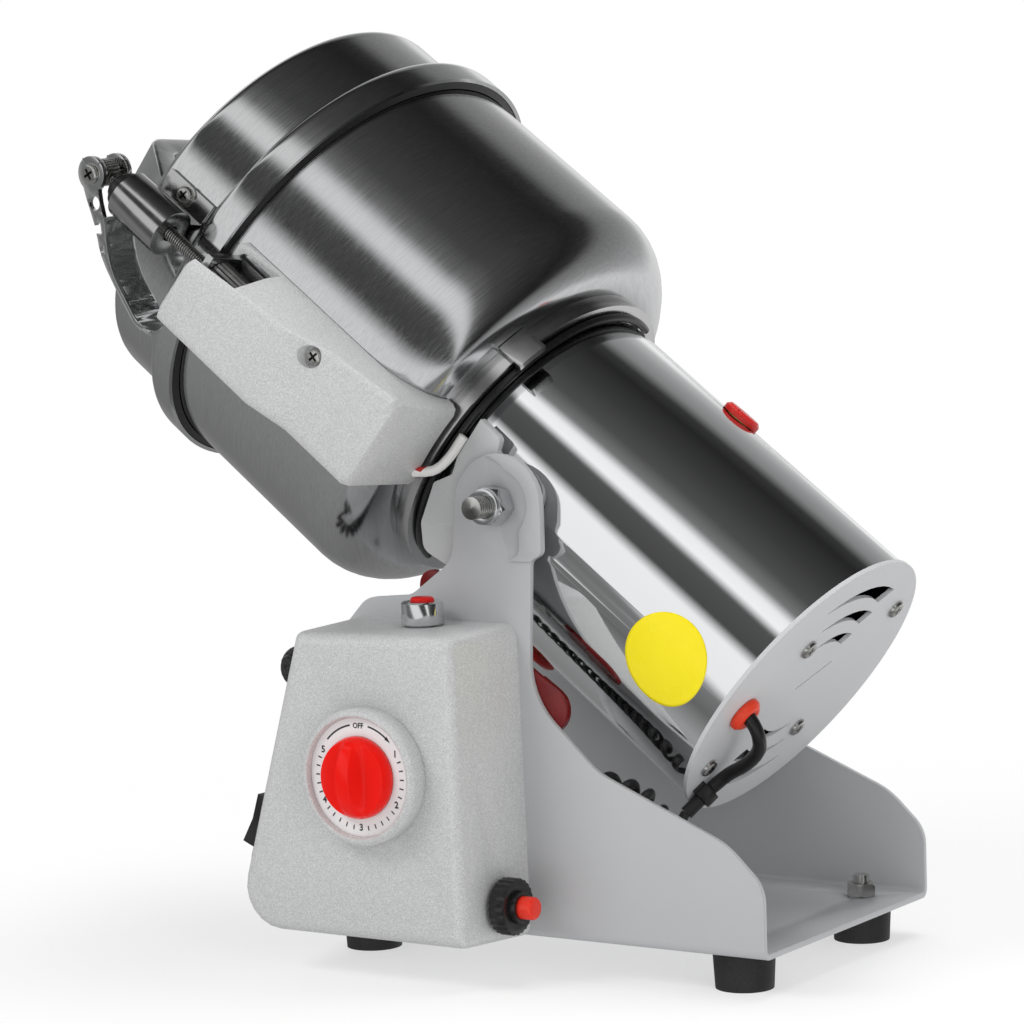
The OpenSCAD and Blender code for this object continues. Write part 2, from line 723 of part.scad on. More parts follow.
module head_screws() {
    cover_screw_len = cover_front_low - bowl_r - cover_seat - loose_fit;
    color(zinc) head_frame() {
        for (i = [0:3]) rotate([0, 0, end_screw_turns[i]])
            translate([0, -housing_r * end_screw_r_shares[i], end_s - end_t]) {
                mirror([0, 0, 1]) pan_head(end_screw_r, end_screw_h);
                cylinder(r = end_screw_shank, h = end_screw_deep);
            }
        cover_screw_frame() {
            pan_head(cover_head_r, cover_seat);
            translate([0, 0, -cover_screw_len]) cylinder(r = cover_shank_r, h = cover_screw_len + skin);
        }
    }
}
grommet_h = 3.5;
module lead_grommet() {
    color(red) head_frame() rotate([0, 0, grommet_turn])
        translate([0, -grommet_at, end_s - end_t - grommet_h]) difference() {
            union() {
                rotate_extrude() polygon([[0, 0], [grommet_r - 1.5 * knob_round, 0],
                    [grommet_r, 1.5 * knob_round], [grommet_r, grommet_h], [0, grommet_h]]);
                cylinder(r = grommet_neck, h = grommet_h + end_t + 2 * knob_round);
            }
            translate([0, 0, -over]) cylinder(r = sleeve_r + run_fit, h = 4 * grommet_h);
        }
}
// Sleeved lead from the grommet to the clip, set by hand in the head's own frame
sleeve_at = [grommet_at * sin(grommet_turn), -grommet_at * cos(grommet_turn)];
sleeve_end = [sin(clip_turn), -cos(clip_turn)];
sleeve_rise = 5;
clip_reach = [8, 2];
sleeve_route = [
    [sleeve_at[0], sleeve_at[1], end_s],
    [sleeve_at[0], sleeve_at[1], end_s - sleeve_rise],
    [-9, -35, -118], [-15, -31, -120], [-24, -27, -118], [-33, -25, -114],
    each [for (r = [housing_r - clip_reach[0], housing_r - clip_reach[1], lead_end_r])
        [r * sleeve_end[0], r * sleeve_end[1], end_s + clip_s]]];
sleeve_rings = 24;
module lead_sleeve() {
    color(black) head_frame()
        tube([for (k = [0:sleeve_rings]) along(sleeve_route, k / sleeve_rings)],
             [for (k = [0:sleeve_rings]) [1, 0.4, 0.2]], sleeve_r, 10);
}
clip_r = 4;
clip_len = 5;
clip_in = 7;
clip_foot_share = 0.3;
module lead_clip() {
    color(white) head_frame() difference() {
        union() {
            spoke(clip_turn, housing_r - clip_in, end_s + clip_s) cylinder(r = clip_r, h = clip_len);
            rotate([0, 0, clip_turn])
                translate([-clip_r, -housing_r + clip_in - clip_len, end_s - end_t + clip_s * clip_foot_share])
                    cube([2 * clip_r, clip_len, -clip_s * clip_foot_share]);
        }
        spoke(clip_turn, housing_r - clip_in - 2 * over, end_s + clip_s)
            cylinder(r = sleeve_r + loose_fit, h = 2 * clip_len);
        rotate([0, 0, clip_turn]) translate([-2 * clip_r, -2 * housing_r, end_s - end_t])
            cube([4 * clip_r, 2 * housing_r, 2 * clip_r]);
    }
}

// Cast collar between the motor tube and the bowl, with its lugs
collar_s = 31;
collar_h = 6.5;
collar_out = 6;
collar_r = housing_r + collar_out;
collar_bore = 24;
lug_turns = [38, 49];
lug_t = 3;
lug_up = 3.8;
lug_down = 4.5;
module sector(r, a0, a1) {
    steps = 6;
    polygon(concat([[0, 0]], [for (k = [0:steps])
        let (a = a0 + (a1 - a0) * k / steps) r * [sin(a), -cos(a)]]));
}
module neck_collar() {
    color(cast_grey) head_frame() {
        translate([0, 0, collar_s]) ring(collar_r, collar_bore, collar_h);
        translate([0, 0, housing_top]) ring(housing_r - housing_wall - loose_fit,
            collar_bore, collar_s - housing_top);
        for (half = [0, 180]) rotate([0, 0, half]) translate([0, 0, collar_s - lug_down])
            linear_extrude(lug_down + collar_h) difference() {
                sector(collar_r + lug_t, lug_turns[0], lug_turns[1]);
                circle(r = collar_r - skin);
            }
    }
}

// Plates that carry the swing studs, one on each side of the motor tube
plate_shares = [[-1.78, 0.22, 0.25], [-1.9, 0.9, 0.28], [-1.5, 1.27, 0.2], [-0.66, 1.5, 0.12],
                [-0.26, 1.25, 0.06], [0.1, 1.36, 0], [1.04, 1.36, 0], [1.02, 0.78, 0.12],
                [0.74, 0.68, 0.05], [0.88, 0.1, 0.3], [0.72, -0.5, 0.5], [-0.6, -0.75, 0.5]];
module trunnion_plates() {
    color(paint_grey) head_frame() for (side = [-1, 1])
        translate([0, side * (housing_r + face_gap + plate_t / 2), 0]) across_tray(plate_t)
            difference() {
                polygon(rounded([for (p = plate_shares) ear_r * p]));
                circle(r = stud_r + run_fit);
            }
}
stud_head_r = 7;
stud_head_t = 3;
nut_across = 13;
nut_h = 8;
nut_flange = 2;
stud_out = 8.6;
module pivot_studs() {
    color(zinc) head_frame() for (side = [0, 180])
        spoke(side, housing_r - housing_wall - stud_head_t - 2 * loose_fit, 0) {
            cylinder(r = stud_head_r, h = stud_head_t);
            cylinder(r = stud_r, h = tray_w / 2 - housing_r + housing_wall + stud_head_t
                                     + 2 * loose_fit + nut_h + stud_out);
        }
}
module pivot_nuts() {
    color(zinc) head_frame() for (side = [0, 180])
        spoke(side, tray_w / 2, 0) {
            hex_nut(nut_across, stud_r + run_fit, nut_h);
            translate([0, 0, nut_h - skin]) ring(nut_across / 2 - skin, stud_r + run_fit, nut_flange);
        }
}

// Bowl
bowl_s = collar_s + collar_h;
rim_up = 4.5;
bowl_rim = bowl_s + bowl_h + rim_up;
throat_r = 11;
module bowl() {
    flat_r = bowl_r - bowl_round;
    rim = bowl_rim;
    color(steel) head_frame() rotate_extrude() polygon(concat(
        [[throat_r, bowl_s], [flat_r, bowl_s]],
        arc([flat_r, bowl_s + bowl_round], bowl_round, -90, 0, 10),
        [[bowl_r, rim], [bowl_r - bowl_wall, rim]],
        arc([flat_r, bowl_s + bowl_round], bowl_round - bowl_wall, 0, -90, 10),
        [[throat_r, bowl_s + bowl_wall]]), $fn = 144);
}

// Frames that carry the bearings
bearing_r = 13;
bearing_h = 9;
frame_t = 5;
upper_drop = 14;
lower_rise = 4;
upper_s = housing_top - upper_drop;
lower_s = end_s + lower_rise;
arm_w = 14;
module spider(bore) {
    difference() {
        circle(r = housing_r - housing_wall - loose_fit);
        difference() {
            circle(r = housing_r - 5 * housing_wall);
            circle(r = bearing_r + frame_t);
            square([2 * housing_r, arm_w], center = true);
            square([arm_w, 2 * housing_r], center = true);
        }
        circle(r = bore);
    }
}
module upper_frame() {
    color(cast_grey) head_frame() translate([0, 0, upper_s]) {
        ring(housing_r - housing_wall - loose_fit, bearing_r + run_fit, frame_t);
        translate([0, 0, frame_t - skin])
            ring(bearing_r + frame_t, bearing_r + run_fit, bearing_h + skin);
        translate([0, 0, frame_t - skin])
            ring(housing_r - housing_wall - loose_fit, housing_r - 6 * housing_wall,
                 housing_top - upper_s - frame_t + skin);
    }
}
module lower_frame() {
    color(cast_grey) head_frame() translate([0, 0, lower_s]) linear_extrude(frame_t)
        spider(bearing_r + run_fit);
}
module motor_bearings() {
    color(steel) head_frame() for (s = [upper_s + frame_t / 2, lower_s])
        translate([0, 0, s]) ring(bearing_r, shaft_r + run_fit, bearing_h);
}

// Motor inside
core_s = -78;
core_h = 42;
core_r = housing_r - housing_wall - loose_fit;
yoke_t = 7;
pole_r = 27.5;
armature_r = 26.5;
slot_n = 12;
slot_w = 3;
slot_d = 11;
coil_t = 9;
comm_r = 15;
comm_h = 18;
comm_bar_t = 1;
brush_s = -26;
brush_turn = 108;
brush_w = 7;
holder_r = 6.5;
module stator() {
    color(copper) head_frame() translate([0, 0, core_s]) {
        linear_extrude(core_h) difference() {
            circle(r = core_r);
            circle(r = pole_r);
            difference() {
                circle(r = core_r - yoke_t);
                square([2 * core_r, 2.4 * coil_t], center = true);
            }
        }
    }
}
module armature() {
    color(steel) head_frame() translate([0, 0, core_s]) linear_extrude(core_h) difference() {
        circle(r = armature_r);
        for (k = [0:slot_n - 1]) rotate([0, 0, 360 * k / slot_n])
            translate([armature_r - slot_d, -slot_w / 2]) square([2 * slot_d, slot_w]);
        circle(r = shaft_r + run_fit);
    }
}
module commutator() {
    color(copper) head_frame() translate([0, 0, brush_s - comm_h / 2]) linear_extrude(comm_h)
        difference() {
            circle(r = comm_r);
            for (k = [0:2 * slot_n - 1]) rotate([0, 0, 180 * k / slot_n])
                translate([comm_r - comm_bar_t, -comm_bar_t / 4])
                    square([2 * comm_bar_t, comm_bar_t / 2]);
            circle(r = shaft_r + run_fit);
        }
}
brush_in = comm_r + loose_fit;
brush_len = 16;
holder_gap = 6;
holder_in = comm_r + holder_gap;
module brush_holders() {
    color(brass) head_frame() for (side = [0, 180])
        spoke(brush_turn + side, holder_in, brush_s) difference() {
            cylinder(r = holder_r, h = housing_r - holder_in);
            translate([0, 0, -over]) linear_extrude(housing_r)
                square(brush_w + 2 * run_fit, center = true);
        }
}
module carbon_brushes() {
    color(carbon) head_frame() for (side = [0, 180])
        spoke(brush_turn + side, brush_in, brush_s)
            linear_extrude(brush_len) square(brush_w, center = true);
}
cap_r = 7.5;
cap_up = 3;
module brush_caps() {
    color(red) head_frame() for (side = [0, 180])
        spoke(brush_turn + side, housing_r, brush_s) difference() {
            rotate_extrude() polygon([[0, 0], [cap_r, 0], [cap_r, cap_up - knob_round],
                                      [cap_r - knob_round, cap_up], [0, cap_up]]);
            translate([-cap_r, -slit_t / 2, cap_up - slit_t]) cube([2 * cap_r, slit_t, cap_up]);
        }
}
fan_s = lower_s + bearing_h + face_gap;
fan_h = 12;
fan_r = 42;
fan_n = 11;
fan_plate_t = 2;
blade_t = 1.5;
hub_r = 9;
module cooling_fan() {
    color(black) head_frame() translate([0, 0, fan_s]) difference() {
        union() {
            cylinder(r = fan_r, h = fan_plate_t);
            cylinder(r = hub_r, h = fan_h);
            for (k = [0:fan_n - 1]) rotate([0, 0, 360 * k / fan_n])
                translate([hub_r - skin, -blade_t / 2, 0])
                    cube([fan_r - hub_r - over, blade_t, fan_h]);
        }
        translate([0, 0, -over]) cylinder(r = shaft_r + run_fit, h = fan_h + 2 * over);
    }
}

// Shaft, blades and nut in the bowl
spindle_r = 6;
spindle_shoulder = 8;
blade_len = 150;
blade_w = 20;
blade_thick = 3;
blade_tip_share = 0.35;
blade_gap = 12;
nut_top = 10;
thread_share = 0.7;
sleeve_t = 2;
blade_s = bowl_s + bowl_wall + spindle_shoulder;
shaft_end = blade_s + 2 * blade_thick + blade_gap;
module rotor_shaft() {
    color(steel) head_frame() {
        translate([0, 0, lower_s - over / 2]) cylinder(r = shaft_r, h = shaft_end + nut_top * thread_share - lower_s);
        translate([0, 0, upper_s + frame_t / 2 + bearing_h]) 
            ring(spindle_r + sleeve_t, shaft_r - skin, blade_s - upper_s - frame_t / 2 - bearing_h);
    }
}
// A blade on its hub, which reaches down to what it stands on
module blade(s, turn, hub_h) {
    head_frame() translate([0, 0, s]) rotate([0, 0, turn]) difference() {
        union() {
            linear_extrude(blade_thick) polygon([
                [-blade_w / 2, -hub_r], [-blade_w / 2 * blade_tip_share, -blade_len / 2],
                [blade_w / 2, -blade_len / 2 + blade_w / 2], [blade_w / 2, hub_r],
                [blade_w / 2 * blade_tip_share, blade_len / 2],
                [-blade_w / 2, blade_len / 2 - blade_w / 2]]);
            translate([0, 0, -hub_h]) cylinder(r = hub_r, h = hub_h + blade_thick / 2);
        }
        translate([0, 0, -hub_h - over])
            cylinder(r = shaft_r + run_fit, h = hub_h + blade_thick + 2 * over);
    }
}
module lower_blade() { color(steel) blade(blade_s, 20, 0); }
module upper_blade() { color(steel) blade(blade_s + blade_thick + blade_gap, 110, blade_gap); }
module blade_nut() {
    color(zinc) head_frame() translate([0, 0, shaft_end]) hex_nut(nut_across, shaft_r + run_fit, nut_top);
}

// Lid: a spun shell with a flared skirt over the bowl's rim
lid_wall = 1.5;
lid_top = bowl_rim + lid_h;
lid_in = 3.2;
lid_r = bowl_r - lid_in;
lid_round = 5;
skirt_out = 4.4;
skirt_r = bowl_r + skirt_out;
skirt_down = 10;
gasket_lip = 0.8;
gasket_up = 1.4;
flange_up = 5;
module lid_shell() {
    foot = bowl_rim + flange_up;
    color(steel) head_frame() rotate_extrude($fn = 144) polygon(concat(
        [[0, lid_top]],
        arc([lid_r - lid_round, lid_top - lid_round], lid_round, 90, 0, 6),
        [[lid_r, foot]],
        [[bowl_r - over / 2, foot - over]],
        arc([skirt_r - flange_up, bowl_rim - lid_wall], flange_up, 60, 0, 5),
        [[skirt_r, bowl_rim - skirt_down], [skirt_r - lid_wall, bowl_rim - skirt_down]],
        arc([skirt_r - flange_up, bowl_rim - lid_wall], flange_up - lid_wall, 0, 60, 5),
        [[bowl_r - lid_wall, foot - over - lid_wall], [lid_r - lid_wall, foot - 2 * over]],
        arc([lid_r - lid_round, lid_top - lid_round], lid_round - lid_wall, 0, 90, 6),
        [[0, lid_top - lid_wall]]));
}
module lid_gasket() {
    bore = lid_r - lid_wall - over;
    lip_r = bowl_r + loose_fit;
    out_r = skirt_r - lid_wall;
    color(black) head_frame() rotate_extrude($fn = 144) polygon([
        [bore, bowl_rim], [lip_r, bowl_rim], [lip_r, bowl_rim - skirt_down - gasket_lip],
        [out_r - skin, bowl_rim - skirt_down - gasket_lip + over],
        [out_r, bowl_rim - gasket_up], [lip_r + gasket_up / 2, bowl_rim + gasket_up],
        [bore, bowl_rim + 2 * gasket_up]]);
}
// Handle: a cast bridge with an open channel under it
handle_in = 5;
handle_foot = lid_r - handle_in;
handle_corner = 57;
handle_t = 3;
handle_wall = 3;
handle_r = 9;
handle_foot_w = 6;
module handle_side(t) {
    polygon(rounded([
        [-handle_foot + t, -t, 0], [-handle_corner + t * 0.4, handle_h - t, handle_r],
        [handle_corner - t * 0.4, handle_h - t, handle_r], [handle_foot - t, -t, 0]]));
}
module handle_bar(w, t) {
    translate([-w / 2, 0, lid_top]) rotate([90, 0, 90]) linear_extrude(w) difference() {
        handle_side(t);
        handle_side(handle_t * 3);
    }
}
module lid_handle() {
    color(cast_grey) head_frame() intersection() {
        difference() {
            handle_bar(handle_w, 0);
            handle_bar(handle_w - 2 * handle_wall, handle_t);
        }
        translate([-lid_r, -lid_r, lid_top]) cube([2 * lid_r, 2 * lid_r, 2 * handle_h]);
    }
}

// Rod, barrel and lever of the lid's latch
latch_turn = 4;
rod_at = bowl_r + rod_out;
barrel_up = 6;
barrel_s = bowl_rim + barrel_up;
barrel_h = 24;
barrel_r = 9.5;
barrel_wall = 1.5;
strap_turns = [-1, 13];
strap_t = 1.5;
pin_up = 13.5;
pin_s = barrel_s + barrel_h + pin_up;
bush_h = 5.5;
bush_out_r = 7.2;
bush_top_r = 5.3;
bush_step = 3.2;
lever_turn = 7;
pin_r = 2;
pin_head_r = 3.7;
pin_head_t = 1.4;
eye_r = 6.4;
eye_w = 5.6;
eye_in = 1.4;
rod_tail = 40;
rod_low = bowl_rim - rod_tail;
module rod_frame(s) { rotate([0, 0, latch_turn]) translate([0, -rod_at, s]) children(); }
module lever_frame() { rod_frame(pin_s) rotate([0, 0, -latch_turn - lever_turn]) children(); }
module strap_plan() {
    gap = lid_r + loose_fit;
    difference() {
        union() {
            rotate([0, 0, latch_turn]) translate([0, -rod_at]) circle(r = barrel_r);
            rotate([0, 0, latch_turn]) translate([-barrel_r / 2, -rod_at])
                square([barrel_r, rod_out + bowl_r - gap]);
            sector(gap + strap_t, strap_turns[0], strap_turns[1]);
        }
        circle(r = gap, $fn = 360);
        rotate([0, 0, latch_turn]) translate([0, -rod_at]) circle(r = barrel_r - barrel_wall);
    }
}
module strap_barrel() {
    color(steel) head_frame() {
        translate([0, 0, barrel_s]) linear_extrude(barrel_h) strap_plan();
        for (s = [barrel_s, barrel_s + barrel_h - barrel_wall]) rod_frame(s)
            ring(barrel_r - barrel_wall / 2, rod_r + 2 * loose_fit, barrel_wall);
    }
}
strap_screw_turn = 10.3;
strap_screw_r = 3.2;
strap_screw_h = 1.8;
washer_t = 0.8;
module barrel_screw() {
    color(zinc) head_frame()
        spoke(strap_screw_turn, lid_r + loose_fit + strap_t, barrel_s + barrel_h / 2) {
            cylinder(r = strap_screw_r + washer_t, h = washer_t);
            translate([0, 0, washer_t - skin / 2]) pan_head(strap_screw_r, strap_screw_h);
        }
}
module barrel_bush() {
    color(black) head_frame() rod_frame(barrel_s + barrel_h) difference() {
        rotate_extrude() polygon([[0, 0], [bush_out_r, 0], [bush_out_r, bush_step],
                                  [bush_top_r, bush_step], [bush_top_r, bush_h], [0, bush_h]]);
        translate([0, 0, -over]) cylinder(r = rod_r + run_fit, h = bush_h + 2 * over);
        rotate([0, 0, -latch_turn - lever_turn])
            translate([0, fork_w, pin_s - barrel_s - barrel_h]) rotate([90, 0, 0])
                cylinder(r = eye_r + loose_fit, h = 2 * fork_w);
    }
}
module latch_rod() {
    color(zinc) head_frame() difference() {
        union() {
            rod_frame(rod_low) cylinder(r = rod_r, h = pin_s - rod_low);
            lever_frame() translate([0, eye_w / 2, 0]) rotate([90, 0, 0])
                cylinder(r = eye_r - eye_in, h = eye_w);
        }
        lever_frame() translate([0, eye_w, 0]) rotate([90, 0, 0])
            cylinder(r = pin_r + run_fit, h = 2 * eye_w);
    }
}
module lever_pin() {
    color(zinc) head_frame() lever_frame() translate([0, fork_w / 2, 0]) rotate([90, 0, 0]) {
        translate([0, 0, -skin]) cylinder(r = pin_r, h = fork_w + 2 * skin);
        translate([0, 0, fork_w]) translate([0, 0, skin / 2]) pan_head(pin_head_r, pin_head_t);
        mirror([0, 0, 1]) translate([0, 0, skin / 2]) pan_head(pin_head_r, pin_head_t);
    }
}
// The lever's two edges run from the eye to the thumb rest, in shares of its length
lever_len = 50;
outer_shares = [[0.05, 0.128], [-0.122, 0.02], [-0.30, -0.215], [-0.462, -0.392],
                [-0.586, -0.64], [-0.68, -0.87], [-0.73, -0.99]];
inner_shares = [[0.128, -0.03], [-0.07, -0.125], [-0.235, -0.29], [-0.395, -0.42],
                [-0.515, -0.57], [-0.60, -0.77], [-0.70, -1.0]];
edge_n = 18;
plate_thick = 2;
web_thick = 2;
web_share = 0.3;
thumb_round_share = 0.152;
hole_shares = [[-0.165, -0.135, 0.052], [-0.30, -0.262, 0.044], [-0.405, -0.38, 0.034]];
module lever_side() {
    polygon(concat([for (k = [0:edge_n]) lever_len * along(outer_shares, k / edge_n)],
                   [for (k = [edge_n:-1:0]) lever_len * along(inner_shares, k / edge_n)]));
}
module lever_web() {
    start = web_share;
    polygon(concat(
        [for (k = [0:edge_n]) let (u = start + (1 - start) * k / edge_n)
            lever_len * along(inner_shares, u)],
        [for (k = [edge_n:-1:0]) let (u = start + (1 - start) * k / edge_n)
            lever_len * along(inner_shares, u)
            + web_thick * unit(along(outer_shares, u) - along(inner_shares, u))]));
}
// The lever seen from the front: straight sides that end in a round thumb rest
module lever_front() {
    low = lever_len * (thumb_round_share - 1);
    rotate([0, -90, 0]) translate([0, 0, -over - eye_r]) linear_extrude(lever_len + eye_r) union() {
        translate([low, -fork_w / 2]) square([lever_len + eye_r, fork_w]);
        intersection() {
            translate([low, 0]) circle(r = fork_w / 2);
            translate([low - fork_w, -fork_w / 2]) square([fork_w, fork_w]);
        }
    }
}
module lever_slab(y, t) { translate([0, y + t, 0]) rotate([90, 0, 0]) linear_extrude(t) children(); }
module latch_lever() {
    color(chrome) head_frame() lever_frame() intersection() {
        union() {
            for (y = [-fork_w / 2, fork_w / 2 - plate_thick]) difference() {
                lever_slab(y, plate_thick) union() {
                    lever_side();
                    circle(r = eye_r);
                }
                translate([0, fork_w, 0]) rotate([90, 0, 0]) cylinder(r = pin_r + run_fit, h = 2 * fork_w);
                for (h = hole_shares) translate([lever_len * h[0], fork_w, lever_len * h[1]])
                    rotate([90, 0, 0]) cylinder(r = lever_len * h[2], h = 2 * fork_w);
            }
            lever_slab(-fork_w / 2, fork_w) lever_web();
        }
        lever_front();
    }
}

// Bracket, nut and cast cover of the latch on the bowl
cover_wall = 2.5;
cover_drop = 14;
cover_high = bowl_rim - cover_drop;
arm_t = 3;
arm_s = cover_high - cover_wall - arm_t;
arm_out = 8;
arm_half = 8;
bracket_down = 34;
bracket_t = 2.5;
adjust_r = 6.8;
adjust_h = 13;
module bracket_block(out, s, h) {
    rotate([0, 0, latch_turn]) translate([-arm_half, -bowl_r - out, s])
        cube([2 * arm_half, out + bracket_t, h]);
}
module latch_bracket() {
    color(steel) head_frame() difference() {
        union() {
            bracket_block(rod_out + arm_out, arm_s, arm_t);
            bracket_block(bracket_t, arm_s + arm_t - bracket_down, bracket_down);
        }
        cylinder(r = bowl_r + loose_fit, h = lid_top, $fn = 360);
        rod_frame(arm_s - over) cylinder(r = rod_r + loose_fit, h = arm_t + 2 * over);
    }
}
module adjusting_nut() {
    color(chrome) head_frame() rod_frame(arm_s - loose_fit - adjust_h)
        knurled(adjust_r, rod_r + run_fit, adjust_h);
}
// The cover's cross-sections along the bowl: place, front distance and inset of each
cover_t0 = -22.5;
cover_t1 = 13;
cover_corner = 4;
cover_gap = 1;
cover_low = collar_s + cover_gap;
cover_back = 60;
cover_out = [20, 27];
cover_front_low = bowl_r + cover_out[0];
cover_front_up = bowl_r + cover_out[1];
cover_step = [80, 65];
cover_front_t1 = [15, 11, 9, 3.5];
cover_edge = 1.6;
function cover_ring(s, front, t1, inset) =
    [for (p = rounded([[cover_t0 + inset, -front + inset, cover_corner],
                       [t1 - inset, -front + inset, cover_corner],
                       [cover_t1 - inset, -bowl_r, 0],
                       [cover_t1 - inset, -cover_back, 0], [cover_t0 + inset, -cover_back, 0]]))
        [p[0], p[1], s]];
module cover_body(inset) {
    low = cover_low + inset;
    high = cover_high - inset;
    t1 = cover_front_t1;
    skinned([cover_ring(low, cover_front_low, t1[0], inset + 2 * cover_edge),
             cover_ring(low + 0.6 * cover_edge, cover_front_low, t1[0], inset + 0.6 * cover_edge),
             cover_ring(low + 2 * cover_edge, cover_front_low, t1[0], inset),
             cover_ring(cover_step[1], cover_front_low, t1[1], inset),
             cover_ring(cover_step[0], cover_front_up, t1[2], inset),
             cover_ring(high - cover_edge, cover_front_up, t1[3], inset),
             cover_ring(high, cover_front_up, t1[3], inset + cover_edge)]);
}
module bowl_clear(gap) {
    flat_r = bowl_r - bowl_round;
    rotate_extrude($fn = 144) polygon(concat(
        [[0, -collar_s], [collar_r + lug_t + gap, -collar_s], [collar_r + lug_t + gap, bowl_s - gap]],
        arc([flat_r, bowl_s + bowl_round], bowl_round + gap, -70, 0, 10),
        [[bowl_r + gap, 2 * bowl_rim], [0, 2 * bowl_rim]]));
}
slot_from = arm_s - adjust_h - arm_t;
cover_screw_s = 70;
cover_screw_t = 6;
cover_recess_r = 4;
cover_recess_d = 5;
cover_boss_r = 5.5;
cover_seat = 1.5;
cover_head_r = 3;
cover_shank_r = 1.5;
// The cover screw's own frame: its seat at zero, its head outwards
module cover_screw_frame() {
    rotate([0, 0, latch_turn]) translate([cover_screw_t, -cover_front_low + cover_seat, cover_screw_s])
        rotate([90, 0, 0]) children();
}
module latch_box() {
    color(box_silver) head_frame() difference() {
        rotate([0, 0, latch_turn]) cover_body(0);
        difference() {
            rotate([0, 0, latch_turn]) cover_body(cover_wall);
            cover_screw_frame() translate([0, 0, -cover_front_low])
                cylinder(r = cover_boss_r, h = 2 * cover_front_low);
        }
        bowl_clear(loose_fit);
        rotate([0, 0, latch_turn])
            translate([-adjust_r - over, -cover_front_up + cover_wall, slot_from])
                cube([2 * cover_t1, cover_front_up - cover_wall - bowl_r - 2 * over, bowl_rim]);
        cover_screw_frame() {
            cylinder(r = cover_recess_r, h = 2 * cover_recess_d);
            translate([0, 0, -cover_front_low]) cylinder(r = cover_shank_r + run_fit, h = 2 * cover_front_low);
        }
    }
}
switch_size = [10, 12, 28];
switch_s = 52;
module lid_switch() {
    color(black) head_frame() rotate([0, 0, latch_turn])
        translate([cover_t0 + cover_wall, -bowl_r - switch_size[1] - over, switch_s])
            cube(switch_size);
}

// Leads at the neck
neck_lead_r = 1.5;
neck_lead_at = housing_r + neck_lead_r + loose_fit;
neck_lead_s = collar_s - neck_lead_r - loose_fit;
module switch_lead() {
    color(black) head_frame() translate([0, 0, neck_lead_s]) rotate([0, 0, -62 - 90])
        rotate_extrude(angle = 180) translate([neck_lead_at, 0]) circle(r = neck_lead_r);
}
sleeve_pull = [[0.166, -1.06], [0, -1.09], [-0.12, -1.13], [-0.2, -1.19]];
woven_r = 1.9;
module switch_sleeve() {
    pts = [for (p = sleeve_pull) [housing_r * p[0], housing_r * p[1], neck_lead_s]];
    route = [pts[0] + [0, 0, -2.5], pts[1] + [0, 0, -3], pts[2] + [0, 0, -1.5], pts[3] + [0, 0, 3.6]];
    color(white) head_frame()
        tube([for (k = [0:10]) along(route, k / 10)], [for (k = [0:10]) [0, 0, 1]], woven_r, 8);
}

base_tray();
rubber_feet();
foot_studs();
control_box();
timer_body();
dial_ring();
dial_disc();
timer_shaft();
timer_knob();
button_collar();
jog_button();
reset_breaker();
reset_nut();
reset_button();
rocker_bezel();
power_rocker();
lead_gland();
curly_lead();
lock_lever();
lock_bolt();
motor_housing();
end_plate();
head_screws();
lead_grommet();
lead_sleeve();
lead_clip();
neck_collar();
trunnion_plates();
pivot_studs();
pivot_nuts();
bowl();
upper_frame();
lower_frame();
stator();
motor_bearings();
brush_holders();
carbon_brushes();
brush_caps();
latch_box();
latch_bracket();
switch_lead();
switch_sleeve();
lid_switch();
rotor_shaft();
armature();
commutator();
cooling_fan();
lower_blade();
upper_blade();
blade_nut();
lid_shell();
lid_gasket();
lid_handle();
strap_barrel();
barrel_screw();
barrel_bush();
latch_rod();
lever_pin();
latch_lever();
adjusting_nut();
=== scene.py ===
"""A swing grinder for dry spices: a steel bowl on a motor tube, hung in a folded sheet tray.
Lengths are metres unless a name ends in _mm. X runs along the tray, the control box is at minus Y."""

import math

import bpy
import numpy as np
from mathutils import Matrix, Vector


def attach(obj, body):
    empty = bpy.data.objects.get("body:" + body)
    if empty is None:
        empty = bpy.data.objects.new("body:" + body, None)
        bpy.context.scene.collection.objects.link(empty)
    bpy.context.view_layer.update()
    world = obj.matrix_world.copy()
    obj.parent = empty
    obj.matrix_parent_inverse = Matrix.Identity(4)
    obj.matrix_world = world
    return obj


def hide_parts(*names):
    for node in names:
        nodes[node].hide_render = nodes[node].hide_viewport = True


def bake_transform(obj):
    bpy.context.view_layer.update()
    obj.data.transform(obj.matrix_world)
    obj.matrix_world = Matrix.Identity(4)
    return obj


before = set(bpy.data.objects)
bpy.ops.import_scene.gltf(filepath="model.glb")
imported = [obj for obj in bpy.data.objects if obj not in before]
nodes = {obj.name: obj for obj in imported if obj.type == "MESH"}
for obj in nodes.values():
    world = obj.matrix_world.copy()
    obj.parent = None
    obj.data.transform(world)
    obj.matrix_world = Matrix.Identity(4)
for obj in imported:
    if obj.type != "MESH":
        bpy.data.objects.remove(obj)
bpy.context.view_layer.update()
scene = bpy.context.scene

# Studio
# A long lens stands a metre and a bit from the machine, on the side of the control box.
# Bright and dark bands in the world, laid round the tilted head's axis like soft boxes and dark cards, are
# seen only in reflections, and show as bands on its round metal.
# The floor is pale and fades to white away from the machine, so that no horizon shows.
MM = 0.001
lens_right = Vector((0.83531, 0.54899, -0.02928))
lens_up = Vector((-0.01669, 0.07856, 0.99677))
lens_back = Vector((0.54952, -0.83213, 0.07479))
lens_at = Vector((610.476, -986.351, 247.142)) * MM
focus_px = 3180.7
picture_px = 1024
lens_data = bpy.data.cameras.new("lens")
lens_data.sensor_width = 36.0
lens_data.lens = focus_px / picture_px * lens_data.sensor_width
lens = bpy.data.objects.new("lens", lens_data)
scene.collection.objects.link(lens)
lens_turn = Matrix((lens_right, lens_up, lens_back)).transposed().to_4x4()
lens.matrix_world = Matrix.Translation(lens_at) @ lens_turn
scene.camera = lens
scene.view_settings.view_transform = "Standard"

